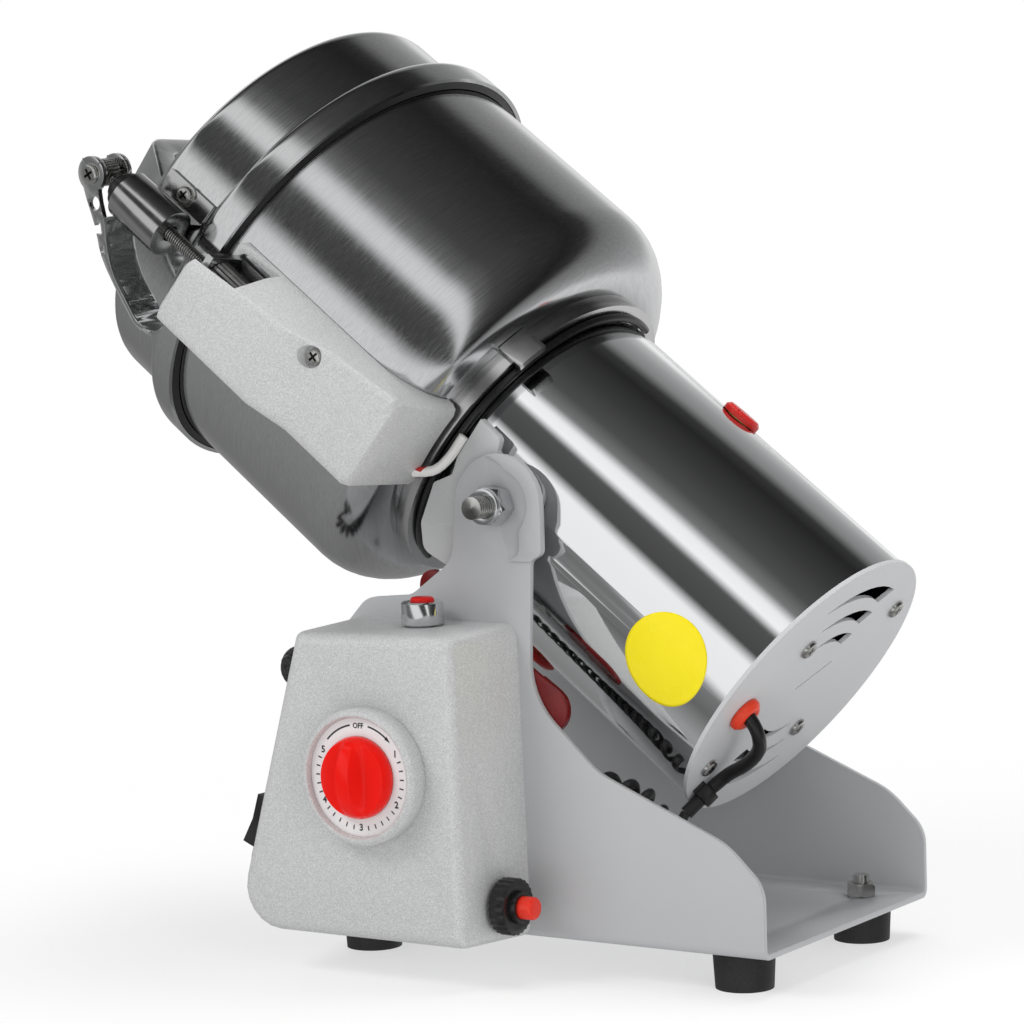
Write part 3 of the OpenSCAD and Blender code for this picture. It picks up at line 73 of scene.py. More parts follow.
tilt = math.radians(51.7)
up_axis = np.array([-math.sin(tilt), 0.0, math.cos(tilt)])
out_axis = np.array([math.cos(tilt), 0.0, math.sin(tilt)])
near_axis = np.array([0.0, -1.0, 0.0])
pivot_mm = np.array([-6.0, 0.0, 166.5])


class Term:
    """A socket of a material, so that shader maths reads as a Python expression."""

    def __init__(self, paint, socket):
        self.paint = paint
        self.socket = socket

    def maths(self, operation, *values, clamp=False):
        settings = {"operation": operation, "use_clamp": clamp}
        return self.paint.term("ShaderNodeMath", settings, dict(enumerate(values)))

    def __add__(self, other):
        return self.maths("ADD", self, other)

    def __radd__(self, other):
        return self.maths("ADD", other, self)

    def __sub__(self, other):
        return self.maths("SUBTRACT", self, other)

    def __rsub__(self, other):
        return self.maths("SUBTRACT", other, self)

    def __mul__(self, other):
        return self.maths("MULTIPLY", self, other)

    def __rmul__(self, other):
        return self.maths("MULTIPLY", other, self)

    def __truediv__(self, other):
        return self.maths("DIVIDE", self, other)

    def __gt__(self, other):
        return self.maths("GREATER_THAN", self, other)

    def __lt__(self, other):
        return self.maths("LESS_THAN", self, other)

    def __abs__(self):
        return self.maths("ABSOLUTE", self)

    def sine(self):
        return self.maths("SINE", self)

    def angle_from(self, other):
        """The angle whose tangent is this over the other."""
        return self.maths("ARCTAN2", self, other)

    def held(self):
        """Held between 0 and 1."""
        return self.maths("ADD", self, 0.0, clamp=True)


class Paint:
    """A finish or a world: a node tree, and one method that adds any node to it."""

    def __init__(self, owner):
        owner.use_nodes = True
        self.owner = owner
        self.tree = owner.node_tree
        self.tree.nodes.clear()

    def node(self, kind, settings=None, values=None):
        """A node, its settings first, then the values or links of its sockets."""
        made = self.tree.nodes.new(kind)
        for name, value in (settings or {}).items():
            if name == "stops":
                self.set_stops(made.color_ramp, value)
            else:
                setattr(made, name, value)
        for name, value in (values or {}).items():
            socket = made.inputs[name]
            if isinstance(value, Term):
                self.tree.links.new(value.socket, socket)
            elif isinstance(value, bpy.types.NodeSocket):
                self.tree.links.new(value, socket)
            elif socket.type == "RGBA":
                socket.default_value = (*value, 1.0)
            else:
                socket.default_value = value
        return made

    @staticmethod
    def set_stops(ramp, stops):
        while len(ramp.elements) < len(stops):
            ramp.elements.new(1.0)
        for element, (place, colour) in zip(ramp.elements, stops):
            element.position = place
            element.color = (*colour, 1.0)

    def term(self, kind, settings=None, values=None, output=0):
        return Term(self, self.node(kind, settings, values).outputs[output])

    def place(self, centre_mm=(0.0, 0.0, 0.0)):
        """Where a point of the machine is, in metres from a centre."""
        here = self.term("ShaderNodeTexCoord", output="Object")
        centre = tuple(float(c) * MM for c in centre_mm)
        return self.term("ShaderNodeVectorMath", {"operation": "SUBTRACT"}, {0: here, 1: centre})

    def along(self, place, axis):
        """How far a place lies along an axis, in metres."""
        axis = tuple(float(a) for a in axis)
        return self.term("ShaderNodeVectorMath", {"operation": "DOT_PRODUCT"}, {0: place, 1: axis},
                         output="Value")

    def joined(self, x, y, z):
        return self.term("ShaderNodeCombineXYZ", None, {0: x, 1: y, 2: z})

    def noise(self, place, scale, detail=2.0):
        """Soft noise round a half, with scale lumps to the metre."""
        return self.term("ShaderNodeTexNoise", None, {"Vector": place, "Scale": scale, "Detail": detail})

    def cells(self, place, scale):
        """One random number for each of a crowd of small cells, scale of them to the metre."""
        cell = self.term("ShaderNodeTexVoronoi", None, {"Vector": place, "Scale": scale}, output="Color")
        return self.along(cell, (1.0, 0.0, 0.0))

    def ramp(self, factor, *stops):
        return self.term("ShaderNodeValToRGB", {"stops": stops}, {"Fac": factor})

    def mix(self, factor, first, second):
        """The first colour where the factor is 0, the second where it is 1."""
        return self.term("ShaderNodeMix", {"data_type": "RGBA"}, {0: factor, 6: first, 7: second}, output=2)

    def bump(self, height, depth_mm):
        """The surface tipped as if the height, from 0 to 1, were that many millimetres deep."""
        values = {"Height": height, "Strength": 1.0, "Distance": depth_mm * MM}
        return self.term("ShaderNodeBump", None, values)

    def finish(self, **sockets):
        """Ends the tree in one shader: sockets by name, with underscores for the spaces."""
        values = {name.replace("_", " "): value for name, value in sockets.items()}
        shader = self.node("ShaderNodeBsdfPrincipled", None, values)
        out = self.node("ShaderNodeOutputMaterial")
        self.tree.links.new(shader.outputs[0], out.inputs[0])
        return self.owner


def grey(level):
    return (level, level, level)


def paint(name):
    return Paint(bpy.data.materials.new(name))


def lamp(name, at, aim, size, watts):
    """A soft box: a rectangle of light that hangs at one place and faces another."""
    data = bpy.data.lights.new(name, "AREA")
    data.shape = "RECTANGLE"
    data.size, data.size_y = size
    data.energy = watts
    soft_box = bpy.data.objects.new(name, data)
    scene.collection.objects.link(soft_box)
    soft_box.location = at
    soft_box.rotation_euler = (Vector(aim) - Vector(at)).to_track_quat("-Z", "Y").to_euler()
    soft_box.visible_glossy = False


machine = (-0.02, 0.0, 0.16)
lamp("key_box", (-0.75, -1.15, 1.25), machine, (0.9, 0.6), 11.0)
lamp("side_box", (1.30, -0.75, 0.55), machine, (0.5, 0.9), 5.0)
lamp("top_box", (0.10, 0.25, 1.45), machine, (0.9, 0.7), 9.0)

room = Paint(bpy.data.worlds.new("studio"))
scene.world = room.owner
way = room.term("ShaderNodeTexCoord", output="Generated")
round_head = room.along(way, out_axis).angle_from(room.along(way, near_axis)) / (2 * math.pi) + 0.5


def share_of_turn(degrees):
    """Where an angle round the head falls on the ramp of the studio, from 0 to 1."""
    return degrees / 360.0 + 0.5


bands = ((-180, 0.90), (-168, 0.80), (-150, 0.30), (-120, 0.22), (-60, 0.34), (-38, 0.14), (-24, 0.20),
         (-16, 0.92), (10, 0.95), (18, 0.07), (36, 0.09), (42, 1.0), (50, 0.95), (57, 0.20), (70, 0.08),
         (92, 0.045), (118, 0.02), (130, 0.04), (141, 0.24), (156, 0.34), (170, 0.50), (180, 0.90))
walls = room.ramp(round_head, *[(share_of_turn(a), grey(level)) for a, level in bands])
rays = room.node("ShaderNodeLightPath")
seen = Term(room, rays.outputs["Is Camera Ray"])
mirrored = Term(room, rays.outputs["Is Glossy Ray"]) + Term(room, rays.outputs["Is Transmission Ray"])
surround = room.mix(mirrored.held(), grey(0.55), walls)
backdrop = room.mix(seen, surround, grey(1.0))
background = room.node("ShaderNodeBackground", None, {"Color": backdrop, "Strength": 1.0})
room.tree.links.new(background.outputs[0], room.node("ShaderNodeOutputWorld").inputs[0])

reach = 6.0
floor_data = bpy.data.meshes.new("floor")
floor_data.from_pydata([(-reach, -reach, 0), (reach, -reach, 0), (reach, reach, 0), (-reach, reach, 0)],
                       [], [(0, 1, 2, 3)])
floor = bpy.data.objects.new("floor", floor_data)
scene.collection.objects.link(floor)
ground = paint("pale_floor")
fade_from = 0.22
fade_over = 0.35
least_fade = 0.55
away = ground.term("ShaderNodeVectorMath", {"operation": "LENGTH"}, {0: ground.place()}, output="Value")
faded = ((away - fade_from) / fade_over).held() * (1 - least_fade) + least_fade
matt = ground.node("ShaderNodeBsdfDiffuse", None, {"Color": grey(0.92)})
white = ground.node("ShaderNodeEmission", None, {"Color": grey(1.0), "Strength": 1.0})
floor_mix = ground.node("ShaderNodeMixShader", None, {0: faded, 1: matt.outputs[0], 2: white.outputs[0]})
ground.tree.links.new(floor_mix.outputs[0], ground.node("ShaderNodeOutputMaterial").inputs[0])
floor.data.materials.append(ground.owner)
floor.visible_glossy = False

# Curly lead
# A coiled rubber lead feeds the motor. It leaves the gland on the sloping face of the control box,
# goes round the rear of the near wall and along inside it, and ends in the clip on the motor's end.
lead_d_mm = 3.6
curl_d_mm = 15.5
curls = 28
curl_steps = 24
box_h_mm = 111.0
box_top_mm = 125.0
slope_run_mm = 32.5
slope_top_x_mm = -69.5
gland_y_mm = -72.0
gland_z_mm = 101.5
gland_out_mm = 10.0
clip_turn = -57.0
clip_end_r_mm = 61.3
clip_s_mm = -112.4
straight_share = 0.025
grow_share = 0.07
fine_steps = 1601
slope = math.atan2(box_h_mm, slope_run_mm)
gland_out = np.array([-math.sin(slope), 0.0, math.cos(slope)])


def head_mm(turn_deg, r, s):
    """A place on the head: at a turn round its axis from the near side, a radius and a height."""
    a = np.radians(turn_deg)
    return (pivot_mm + np.multiply.outer(r * np.sin(a), out_axis)
            + np.multiply.outer(r * np.cos(a), near_axis) + np.multiply.outer(s + 0 * a, up_axis))


def head_out(turn_deg):
    """The direction out from the head's axis, at a turn round it from the near side."""
    a = math.radians(turn_deg)
    return math.sin(a) * out_axis + math.cos(a) * near_axis


def bend_through(points, share):
    """A smooth curve through points: a cubic from each to the next, its slopes from their neighbours."""
    points = np.asarray(points, dtype=float)
    spans = len(points) - 1
    run = np.clip(share, 0.0, 1.0) * spans
    i = np.minimum(run.astype(int), spans - 1)
    ends = np.vstack([2 * points[:1] - points[1:2], points, 2 * points[-1:] - points[-2:-1]])
    a, b, c, d = ends[i], ends[i + 1], ends[i + 2], ends[i + 3]
    t = (run - i)[:, None]
    square = 2 * a - 5 * b + 4 * c - d
    cube = 3 * b - a - 3 * c + d
    return b + t * (c - a) / 2 + t ** 2 * square / 2 + t ** 3 * cube / 2


def even(points, count):
    """The same curve again, with its places spaced evenly along its length."""
    fine = bend_through(points, np.linspace(0, 1, fine_steps))
    run = np.append(0, np.cumsum(np.linalg.norm(np.diff(fine, axis=0), axis=1)))
    wanted = np.linspace(0, run[-1], count)
    return np.stack([np.interp(wanted, run, fine[:, k]) for k in range(3)], axis=1)


def unit(vectors):
    """The same directions, each with a length of one."""
    return vectors / np.linalg.norm(vectors, axis=-1, keepdims=True)


def add_mesh(name, points_mm, faces):
    """A new piece from its points, in mm, and the faces between them."""
    mesh = bpy.data.meshes.new(name)
    mesh.from_pydata((np.asarray(points_mm) * MM).tolist(), [], faces)
    mesh.validate()
    mesh.shade_smooth()
    piece = bpy.data.objects.new(name, mesh)
    scene.collection.objects.link(piece)
    return piece


def grid_faces(rows, places, closed=True, caps=True, first=0):
    """Faces between the points of a grid, row after row: closed joins each row's end to its start,
    and caps shuts the first and the last row with one face each."""
    index = first + np.arange(rows * places).reshape(rows, places)
    if closed:
        index = np.hstack([index, index[:, :1]])
    quads = np.stack([index[:-1, :-1], index[:-1, 1:], index[1:, 1:], index[1:, :-1]], axis=-1)
    faces = quads.reshape(-1, 4).tolist()
    if caps:
        faces.append(index[0, :places][::-1].tolist())
        faces.append(index[-1, :places].tolist())
    return faces


def tube(name, path_mm, r_mm, hints, sides=12):
    """A round tube: at each place of the path a circle square to it, its seam turned to the hint."""
    ways = unit(np.gradient(path_mm, axis=0))
    side = unit(hints - ways * np.sum(hints * ways, axis=1, keepdims=True))
    top = np.cross(ways, side)
    a = np.linspace(0, 2 * np.pi, sides, endpoint=False)
    spokes = np.cos(a)[:, None] * side[:, None] + np.sin(a)[:, None] * top[:, None]
    skin = path_mm[:, None] + r_mm * spokes
    return add_mesh(name, skin.reshape(-1, 3), grid_faces(len(path_mm), sides))


gland_x_mm = slope_top_x_mm - slope_run_mm * (box_top_mm - gland_z_mm) / box_h_mm
gland_tip_mm = np.array([gland_x_mm, gland_y_mm, gland_z_mm]) + gland_out_mm * gland_out
clip_out = head_out(clip_turn)
clip_tip_mm = head_mm(clip_turn, clip_end_r_mm, clip_s_mm)
straight_mm = 1.5 * lead_d_mm
lead_route_mm = np.vstack([
    gland_tip_mm, gland_tip_mm + straight_mm * gland_out,
    [[-94, -68, 108], [-95, -59, 104], [-89, -50, 97], [-74, -47, 84], [-56, -47, 73], [-38, -47, 66],
     [-20, -47, 63], [-2, -47, 63], [14, -47, 64], [28, -46, 64], [39, -43, 59]],
    clip_tip_mm + straight_mm * clip_out, clip_tip_mm])
lead_places = curls * curl_steps + 1
lead_share = np.linspace(0, 1, lead_places)
core_mm = even(lead_route_mm, lead_places)
core_way = unit(np.gradient(core_mm, axis=0))
core_side = unit(np.cross(core_way, (0.0, 0.0, 1.0)))
core_top = np.cross(core_side, core_way)
# The lead circles its core once for each curl, and the circle grows from nothing at both ends.
lead_turn = 2 * np.pi * curls * lead_share[:, None]
curl_out = np.cos(lead_turn) * core_side + np.sin(lead_turn) * core_top
from_end = np.minimum(lead_share, 1 - lead_share)
grown = np.clip((from_end - straight_share) / grow_share, 0, 1)[:, None]
curl_r_mm = (curl_d_mm - lead_d_mm) / 2 * (3 * grown ** 2 - 2 * grown ** 3)
lead_path_mm = core_mm + curl_r_mm * curl_out
coiled_lead = tube("coiled_lead", lead_path_mm, lead_d_mm / 2, curl_out, sides=10)

jacket = paint("lead_jacket")
dust = jacket.noise(jacket.place(), 300.0, 3.0)
coiled_lead.data.materials.append(jacket.finish(
    Base_Color=jacket.ramp(dust, (0.3, grey(0.010)), (0.8, grey(0.030))), Roughness=dust * 0.3 + 0.2))
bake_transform(coiled_lead)
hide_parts("curly_lead")
(lead_path_mm * MM).tolist()

# Base tray
# One sheet of 2 mm steel is cut, folded up into a floor and two shaped walls, and powder coated
# in a light grey gloss. The walls rise to ears that carry the head.


def colour(node_names, material):
    """Gives CAD nodes their finish."""
    for name in node_names:
        solid = nodes[name].data
        solid.materials.clear()
        solid.materials.append(material)


def smooth(node_names, angle=30.0, edge_mm=0.0):
    """Joins a solid's loose triangles, rounds its edges by a width if one is given,
    and shades it smooth except over edges sharper than the angle."""
    for name in node_names:
        solid = nodes[name]
        if "custom_normal" in solid.data.attributes:
            solid.data.attributes.remove(solid.data.attributes["custom_normal"])
        solid.data.shade_smooth()
        weld = solid.modifiers.new("weld", "WELD")
        weld.merge_threshold = 0.000005
        if edge_mm > 0:
            edge = solid.modifiers.new("edge", "BEVEL")
            edge.width = edge_mm * MM
            edge.segments = 2
            edge.limit_method = "ANGLE"
            edge.angle_limit = math.radians(angle)
        split = solid.modifiers.new("split", "EDGE_SPLIT")
        split.split_angle = math.radians(angle)


def dimmed(tint, share):
    """A colour multiplied by a share: darker below one, paler above it."""
    return tuple(share * c for c in tint)


def gloss_coat(name, base, roughness, peel_mm=0.012):
    """Sprayed or powder paint: one colour, a faint cloudiness and the orange peel of the coat."""
    coat = paint(name)
    spot = coat.place()
    cloud = coat.noise(spot, 35.0, 3.0)
    peel = coat.noise(spot, 900.0, 1.0)
    return coat.finish(Base_Color=coat.mix(cloud, base, dimmed(base, 1.06)),
                       Roughness=cloud * 0.12 + (roughness - 0.06), Normal=coat.bump(peel, peel_mm))


colour(["base_tray"], gloss_coat("tray_coat", (0.43, 0.435, 0.445), 0.30))
smooth(["base_tray"], edge_mm=0.35)

# Feet
# Four turned rubber feet stand under the tray, each on a zinc plated stud with a nut on the floor.


zinc_grey = (0.62, 0.62, 0.60)


def rubber(name, level=0.018, roughness=0.6):
    """Moulded rubber: nearly black, with a fine matt grain."""
    mix = paint(name)
    grain = mix.noise(mix.place(), 1400.0, 2.0)
    return mix.finish(Base_Color=mix.ramp(grain, (0.3, grey(level * 0.7)), (0.75, grey(level * 1.5))),
                      Roughness=grain * 0.2 + (roughness - 0.1), Normal=mix.bump(grain, 0.03))


def plated(name, level=zinc_grey, roughness=0.24):
    """Zinc or nickel plate: bright, with the clouding of handled fasteners in its colour, shine and
    surface.
    """
    plate = paint(name)
    spot = plate.place()
    cloud = plate.noise(spot, 220.0, 3.0)
    return plate.finish(Base_Color=plate.mix(cloud, dimmed(level, 0.8), level), Metallic=1.0,
                        Roughness=cloud * 0.25 + (roughness - 0.1), Normal=plate.bump(cloud, 0.01))


colour(["rubber_feet"], rubber("foot_rubber"))
smooth(["rubber_feet"], edge_mm=0.6)
fastener_zinc = plated("fastener_zinc")
colour(["foot_studs"], fastener_zinc)
smooth(["foot_studs"])

# Control box
# A cast aluminium shell with rounded edges, sprayed with a silver metallic paint that has a fine
# grain of flakes. It stands against the near wall of the tray and holds the controls.


def flake_paint(name):
    """Silver paint with fine flakes: each small cell has its own brightness and tips the surface
    a little, in a lacquer with a fine grain of its own."""
    coat = paint(name)
    spot = coat.place()
    flake = coat.cells(spot, 4200.0)
    fine = coat.noise(spot, 2600.0, 2.0)
    cloud = coat.noise(spot, 18.0, 2.0)
    tone = flake * 0.55 + fine * 0.35 + cloud * 0.10
    silver = coat.ramp(tone, (0.22, (0.47, 0.474, 0.476)), (0.5, (0.57, 0.574, 0.576)),
                       (0.78, (0.72, 0.724, 0.724)))
    return coat.finish(Base_Color=silver, Metallic=0.2, Roughness=fine * 0.3 + 0.30,
                       Normal=coat.bump(tone, 0.012))


silver_coat = flake_paint("silver_flake_coat")
colour(["control_box"], silver_coat)
smooth(["control_box"], edge_mm=0.5)

# Dial and timer
# A spring timer sits behind the box's face. Outside it are a painted ring, a white printed disc
# and a moulded red knob with a lens-shaped grip; the ring and the disc don't turn.


def moulded(name, base, roughness=0.25, shine=0.5):
    """Injection moulded plastic: an even colour with a faint flow pattern and a soft skin."""
    mix = paint(name)
    flow = mix.noise(mix.place(), 60.0, 3.0)
    skin = mix.noise(mix.place(), 700.0, 1.0)
    return mix.finish(Base_Color=mix.mix(flow, dimmed(base, 0.86), base),
                      Roughness=flow * 0.12 + (roughness - 0.06), Specular_IOR_Level=shine,
                      Normal=mix.bump(skin, 0.006))


dial_mm = np.array([-38.4, -99.0, 74.5])
disc_up_mm = 5.5
knob_r_mm = 14.5
knob_h_mm = 10.8
knob_floor_mm = 4.5
knob_gap_mm = 0.3
grip_half_mm = 2.3
grip_tip_mm = 0.4
flank_mm = 3.0
scoop_middle_mm = 8.0
scoop_bend = 0.02
flank_bend = 1.3
rim_share = 0.985
middle_share = 0.01
black_moulding = moulded("black_moulding", grey(0.012), 0.35)
colour(["timer_body"], black_moulding)
smooth(["timer_body"], edge_mm=0.4)
colour(["timer_shaft"], fastener_zinc)
smooth(["timer_shaft"])
colour(["dial_ring"], silver_coat)
smooth(["dial_ring"], edge_mm=0.3)
colour(["dial_disc"], gloss_coat("disc_white", (0.78, 0.785, 0.79), 0.4))
smooth(["dial_disc"])


def on_dial(x, z, up):
    """Points on the box's face, across it, up it, and out from it, all in mm from the dial's centre."""
    x, z, up = np.broadcast_arrays(x, z, up)
    return dial_mm + np.stack([x, -up, z], axis=-1)


def knob_height(x, z):
    """The knob's height over the disc, in mm: an ellipsoid dome, scooped out on both sides down to
    a floor, so that a grip whose plan is a lens is left between steep hollow flanks."""
    r = np.hypot(x, z) / knob_r_mm
    dome = knob_h_mm * np.sqrt(1 - rim_share * r ** 2)
    half = grip_tip_mm + grip_half_mm * np.sqrt(np.clip(1 - (z / knob_r_mm) ** 2, 0, 1))
    down = np.clip((np.abs(x) - half) / flank_mm, 0, 1)
    scooped = np.minimum(dome, knob_floor_mm + scoop_bend * (np.abs(x) - scoop_middle_mm) ** 2)
    return dome + (scooped - dome) * np.sin(0.5 * np.pi * down) ** flank_bend


knob_rings = 110
knob_spokes = 240
knob_run = np.linspace(middle_share, 1, knob_rings)[:, None] * knob_r_mm
knob_turn = np.linspace(0, 2 * np.pi, knob_spokes, endpoint=False)[None, :]
knob_x = knob_run * np.cos(knob_turn)
knob_z = knob_run * np.sin(knob_turn)
knob_skin = on_dial(knob_x, knob_z, disc_up_mm + knob_gap_mm + knob_height(knob_x, knob_z))
knob_foot = on_dial(knob_x[-1:], knob_z[-1:], disc_up_mm + knob_gap_mm)
knob_points = np.concatenate([knob_foot, knob_skin[::-1]]).reshape(-1, 3)
grip_knob = add_mesh("grip_knob", knob_points, grid_faces(knob_rings + 1, knob_spokes))
red_gloss = moulded("red_gloss", (0.86, 0.010, 0.006), 0.14, shine=0.22)
grip_knob.data.materials.append(red_gloss)
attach(grip_knob, "knob")
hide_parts("timer_knob")

# Marks on the dial
# The disc is printed in dark ink: the word for off at the top, five numbers round it at sixty
# degrees, short ticks every ten degrees between them, and an arc with an arrow head.
disc_r_mm = 20.85
ink_lift_mm = 0.04
ink_up_mm = disc_up_mm + ink_lift_mm
digit_h_mm = 2.3
word_h_mm = 1.8
capital_share = 0.7
bold_share = 0.05
digit_r_mm = 0.85 * disc_r_mm
word_r_mm = 0.86 * disc_r_mm
number_step = 60
tick_step = 10
tick_half = 0.8
tick_r_mm = (0.82 * disc_r_mm, 0.90 * disc_r_mm)
arc_r_mm = (0.865 * disc_r_mm, 0.895 * disc_r_mm)
arrow_r_mm = 0.88 * disc_r_mm
arrow_half_mm = 0.035 * disc_r_mm
ink_points = []
ink_faces = []


def add_ink(points, faces):
    """Adds flat print to the dial: points on the face, and the faces between them."""
    ink_faces.extend((np.array(face) + len(ink_points)).tolist() for face in faces)
    ink_points.extend(np.asarray(points).reshape(-1, 3).tolist())


def round_dial(turn_deg, r):
    """A place on the disc, at a turn clockwise from its top and a radius."""
    a = np.radians(turn_deg)
    return r * np.sin(a), r * np.cos(a)


def ink_band(turns_deg, r_low, r_high):
    """A flat band along the turns, between two radii at each of them."""
    low = on_dial(*round_dial(turns_deg, r_low), ink_up_mm)
    high = on_dial(*round_dial(turns_deg, r_high), ink_up_mm)
    add_ink(np.stack([low, high], axis=1), grid_faces(len(turns_deg), 2, closed=False, caps=False))


def ink_word(word, turn_deg, r, height):
    """A short word in plain letters, standing upright on the disc round a place."""
    curve = bpy.data.curves.new("word", "FONT")
    curve.body = word
    curve.size = height / capital_share
    curve.offset = bold_share * height
    curve.align_x = "CENTER"
    curve.align_y = "CENTER"
    letters = bpy.data.objects.new("word", curve)
    mesh = bpy.data.meshes.new_from_object(letters)
    flat = np.array([v.co[:2] for v in mesh.vertices])
    x, z = round_dial(turn_deg, r)
    add_ink(on_dial(flat[:, 0] + x, flat[:, 1] + z, ink_up_mm), [tuple(f.vertices) for f in mesh.polygons])
    bpy.data.objects.remove(letters)


for number in range(1, 6):
    ink_word(str(number), number_step * number, digit_r_mm, digit_h_mm)
ink_word("OFF", 0, word_r_mm, word_h_mm)
for gap in range(1, 5):
    for tick in range(tick_step, number_step, tick_step):
        middle = number_step * gap + tick
        ink_band(np.array([middle - tick_half, middle + tick_half]), *tick_r_mm)
for first_turn, last_turn, places in ((-47, -11, 19), (13, 40, 14)):
    ink_band(np.linspace(first_turn, last_turn, places), *arc_r_mm)
arrow_places = 5
narrowing_mm = arrow_half_mm * np.linspace(1, 0, arrow_places)
ink_band(np.linspace(39, 47, arrow_places), arrow_r_mm - narrowing_mm, arrow_r_mm + narrowing_mm)
dial_print = add_mesh("dial_print", ink_points, ink_faces)
ink = paint("dark_ink")
thin = ink.noise(ink.place(), 1500.0)
dial_print.data.materials.append(ink.finish(
    Base_Color=ink.mix(thin, grey(0.02), grey(0.05)), Roughness=0.5))
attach(dial_print, "base")

# Jog button
# A chromed collar stands on top of the box, and a red cap inside it runs the motor while pressed.
trim_chrome = plated("trim_chrome", (0.76, 0.77, 0.78), 0.10)
colour(["button_collar"], trim_chrome)
smooth(["button_collar"], edge_mm=0.4)
colour(["jog_button"], moulded("jog_red", (0.62, 0.010, 0.008), 0.3, shine=0.3))
smooth(["jog_button"], edge_mm=0.4)

# Overload reset
# A thermal breaker screwed through the box's end: a knurled black nut on its neck, and a red
# button that springs out when the motor has drawn too much.
colour(["reset_breaker", "reset_nut"], moulded("breaker_black", grey(0.010), 0.28))
smooth(["reset_breaker", "reset_nut"], edge_mm=0.25)
colour(["reset_button"], moulded("reset_red", (0.80, 0.030, 0.012), 0.25))
smooth(["reset_button"], edge_mm=0.5)

# Power switch
# A rocker in a black bezel snaps into the sloping rear face of the box.
colour(["rocker_bezel"], black_moulding)
smooth(["rocker_bezel"], edge_mm=0.3)
colour(["power_rocker"], moulded("rocker_black", grey(0.016), 0.22))
smooth(["power_rocker"], edge_mm=0.4)

# Lead gland
# A rubber bush grips the coiled lead where it leaves the box.
colour(["lead_gland"], rubber("gland_rubber", 0.012, 0.5))
smooth(["lead_gland"], edge_mm=0.4)

# Swing lock
# A flat steel lever on a bolt through the near wall, its two ends dipped in dark red vinyl.
lock_mm = np.array([-19.0, -60.0, 118.2])
dip_from = 0.017
dip_edge = 0.0004


def dipped_lever():
    """Zinc plated steel with its two ends dipped in vinyl, each from 17 mm beyond the bolt."""
    mix = paint("dipped_lever")
    spot = mix.place(lock_mm)
    out = mix.term("ShaderNodeVectorMath", {"operation": "LENGTH"}, {0: spot}, output="Value")
    dipped = ((out - dip_from) / dip_edge).held()
    cloud = mix.noise(spot, 150.0, 3.0)
    vinyl = mix.mix(cloud, (0.11, 0.002, 0.003), (0.19, 0.004, 0.005))
    zinc = mix.mix(cloud, grey(0.42), grey(0.60))
    return mix.finish(Base_Color=mix.mix(dipped, zinc, vinyl), Metallic=1.0 - dipped,
                      Roughness=cloud * 0.2 + 0.15, Normal=mix.bump(cloud, 0.03))


colour(["lock_lever"], dipped_lever())
smooth(["lock_lever"], edge_mm=0.7)
colour(["lock_bolt"], fastener_zinc)
smooth(["lock_bolt"])

# Motor tube
# The motor's housing is a welded steel tube, polished and chromed like a mirror, with a round
# yellow sticker low on its near side.


def mirror_plate(name):
    """Chrome on a polished tube: fine scratches run round the head's axis, and the polishing has
    left faint waves in the surface."""
    plate = paint(name)
    spot = plate.place(pivot_mm)
    height = plate.along(spot, up_axis)
    angle = plate.along(spot, out_axis).angle_from(plate.along(spot, near_axis))
    scratch = plate.noise(plate.joined(angle * 2.0, height * 900.0, 0.0), 1.0, 3.0)
    wave = plate.noise(plate.joined(angle * 3.0, height * 12.0, 0.0), 1.0, 1.0)
    return plate.finish(Base_Color=(0.86, 0.87, 0.88), Metallic=1.0, Roughness=scratch * 0.08 + 0.02,
                        Normal=plate.bump(wave * 0.9 + scratch * 0.02, 0.05))


colour(["motor_housing"], mirror_plate("mirror_chrome"))
smooth(["motor_housing"], edge_mm=0.3)

sticker_turn = -2.5
sticker_s_mm = -82.0
sticker_r_mm = 16.5
sticker_t_mm = 0.14
sticker_rings = 16
sticker_spokes = 96
sticker_middle = 0.02
tube_r_mm = 56.0
share_out = np.append(np.linspace(sticker_middle, 1, sticker_rings), 1.0)[:, None]
lift_mm = np.append(np.full(sticker_rings, sticker_t_mm), 0.0)[:, None]
spoke_turn = np.linspace(0, 2 * np.pi, sticker_spokes, endpoint=False)[None, :]
# A flat disc laid on the tube: its width becomes an angle round the tube, its height stays.
round_tube_mm = sticker_r_mm * share_out * np.cos(spoke_turn)
along_tube_mm = sticker_r_mm * share_out * np.sin(spoke_turn)
sticker_turns = np.degrees(round_tube_mm / tube_r_mm) + sticker_turn
stuck_mm = head_mm(sticker_turns, tube_r_mm + lift_mm, sticker_s_mm + along_tube_mm)
sticker = add_mesh("yellow_sticker", stuck_mm[::-1].reshape(-1, 3),
                   grid_faces(sticker_rings + 1, sticker_spokes))
film = paint("yellow_film")
faint = film.noise(film.place(), 80.0, 2.0)
sticker.data.materials.append(film.finish(
    Base_Color=film.mix(faint, (0.86, 0.70, 0.0), (0.92, 0.78, 0.006)), Roughness=faint * 0.1 + 0.22))
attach(sticker, "head")

# End plate
# A pressed and painted steel disc closes the tube. It has two swirls of vent slots, and four
# screws hold it to the motor inside.
colour(["end_plate"], gloss_coat("end_plate_coat", (0.53, 0.535, 0.545), 0.34))
smooth(["end_plate"])


bar_share = 0.22


def square_to(axis):
    """Two directions that are square to an axis and to each other."""
    first = unit(np.cross(axis, (0.3, 1.0, 0.2)))
    return first, np.cross(axis, first)


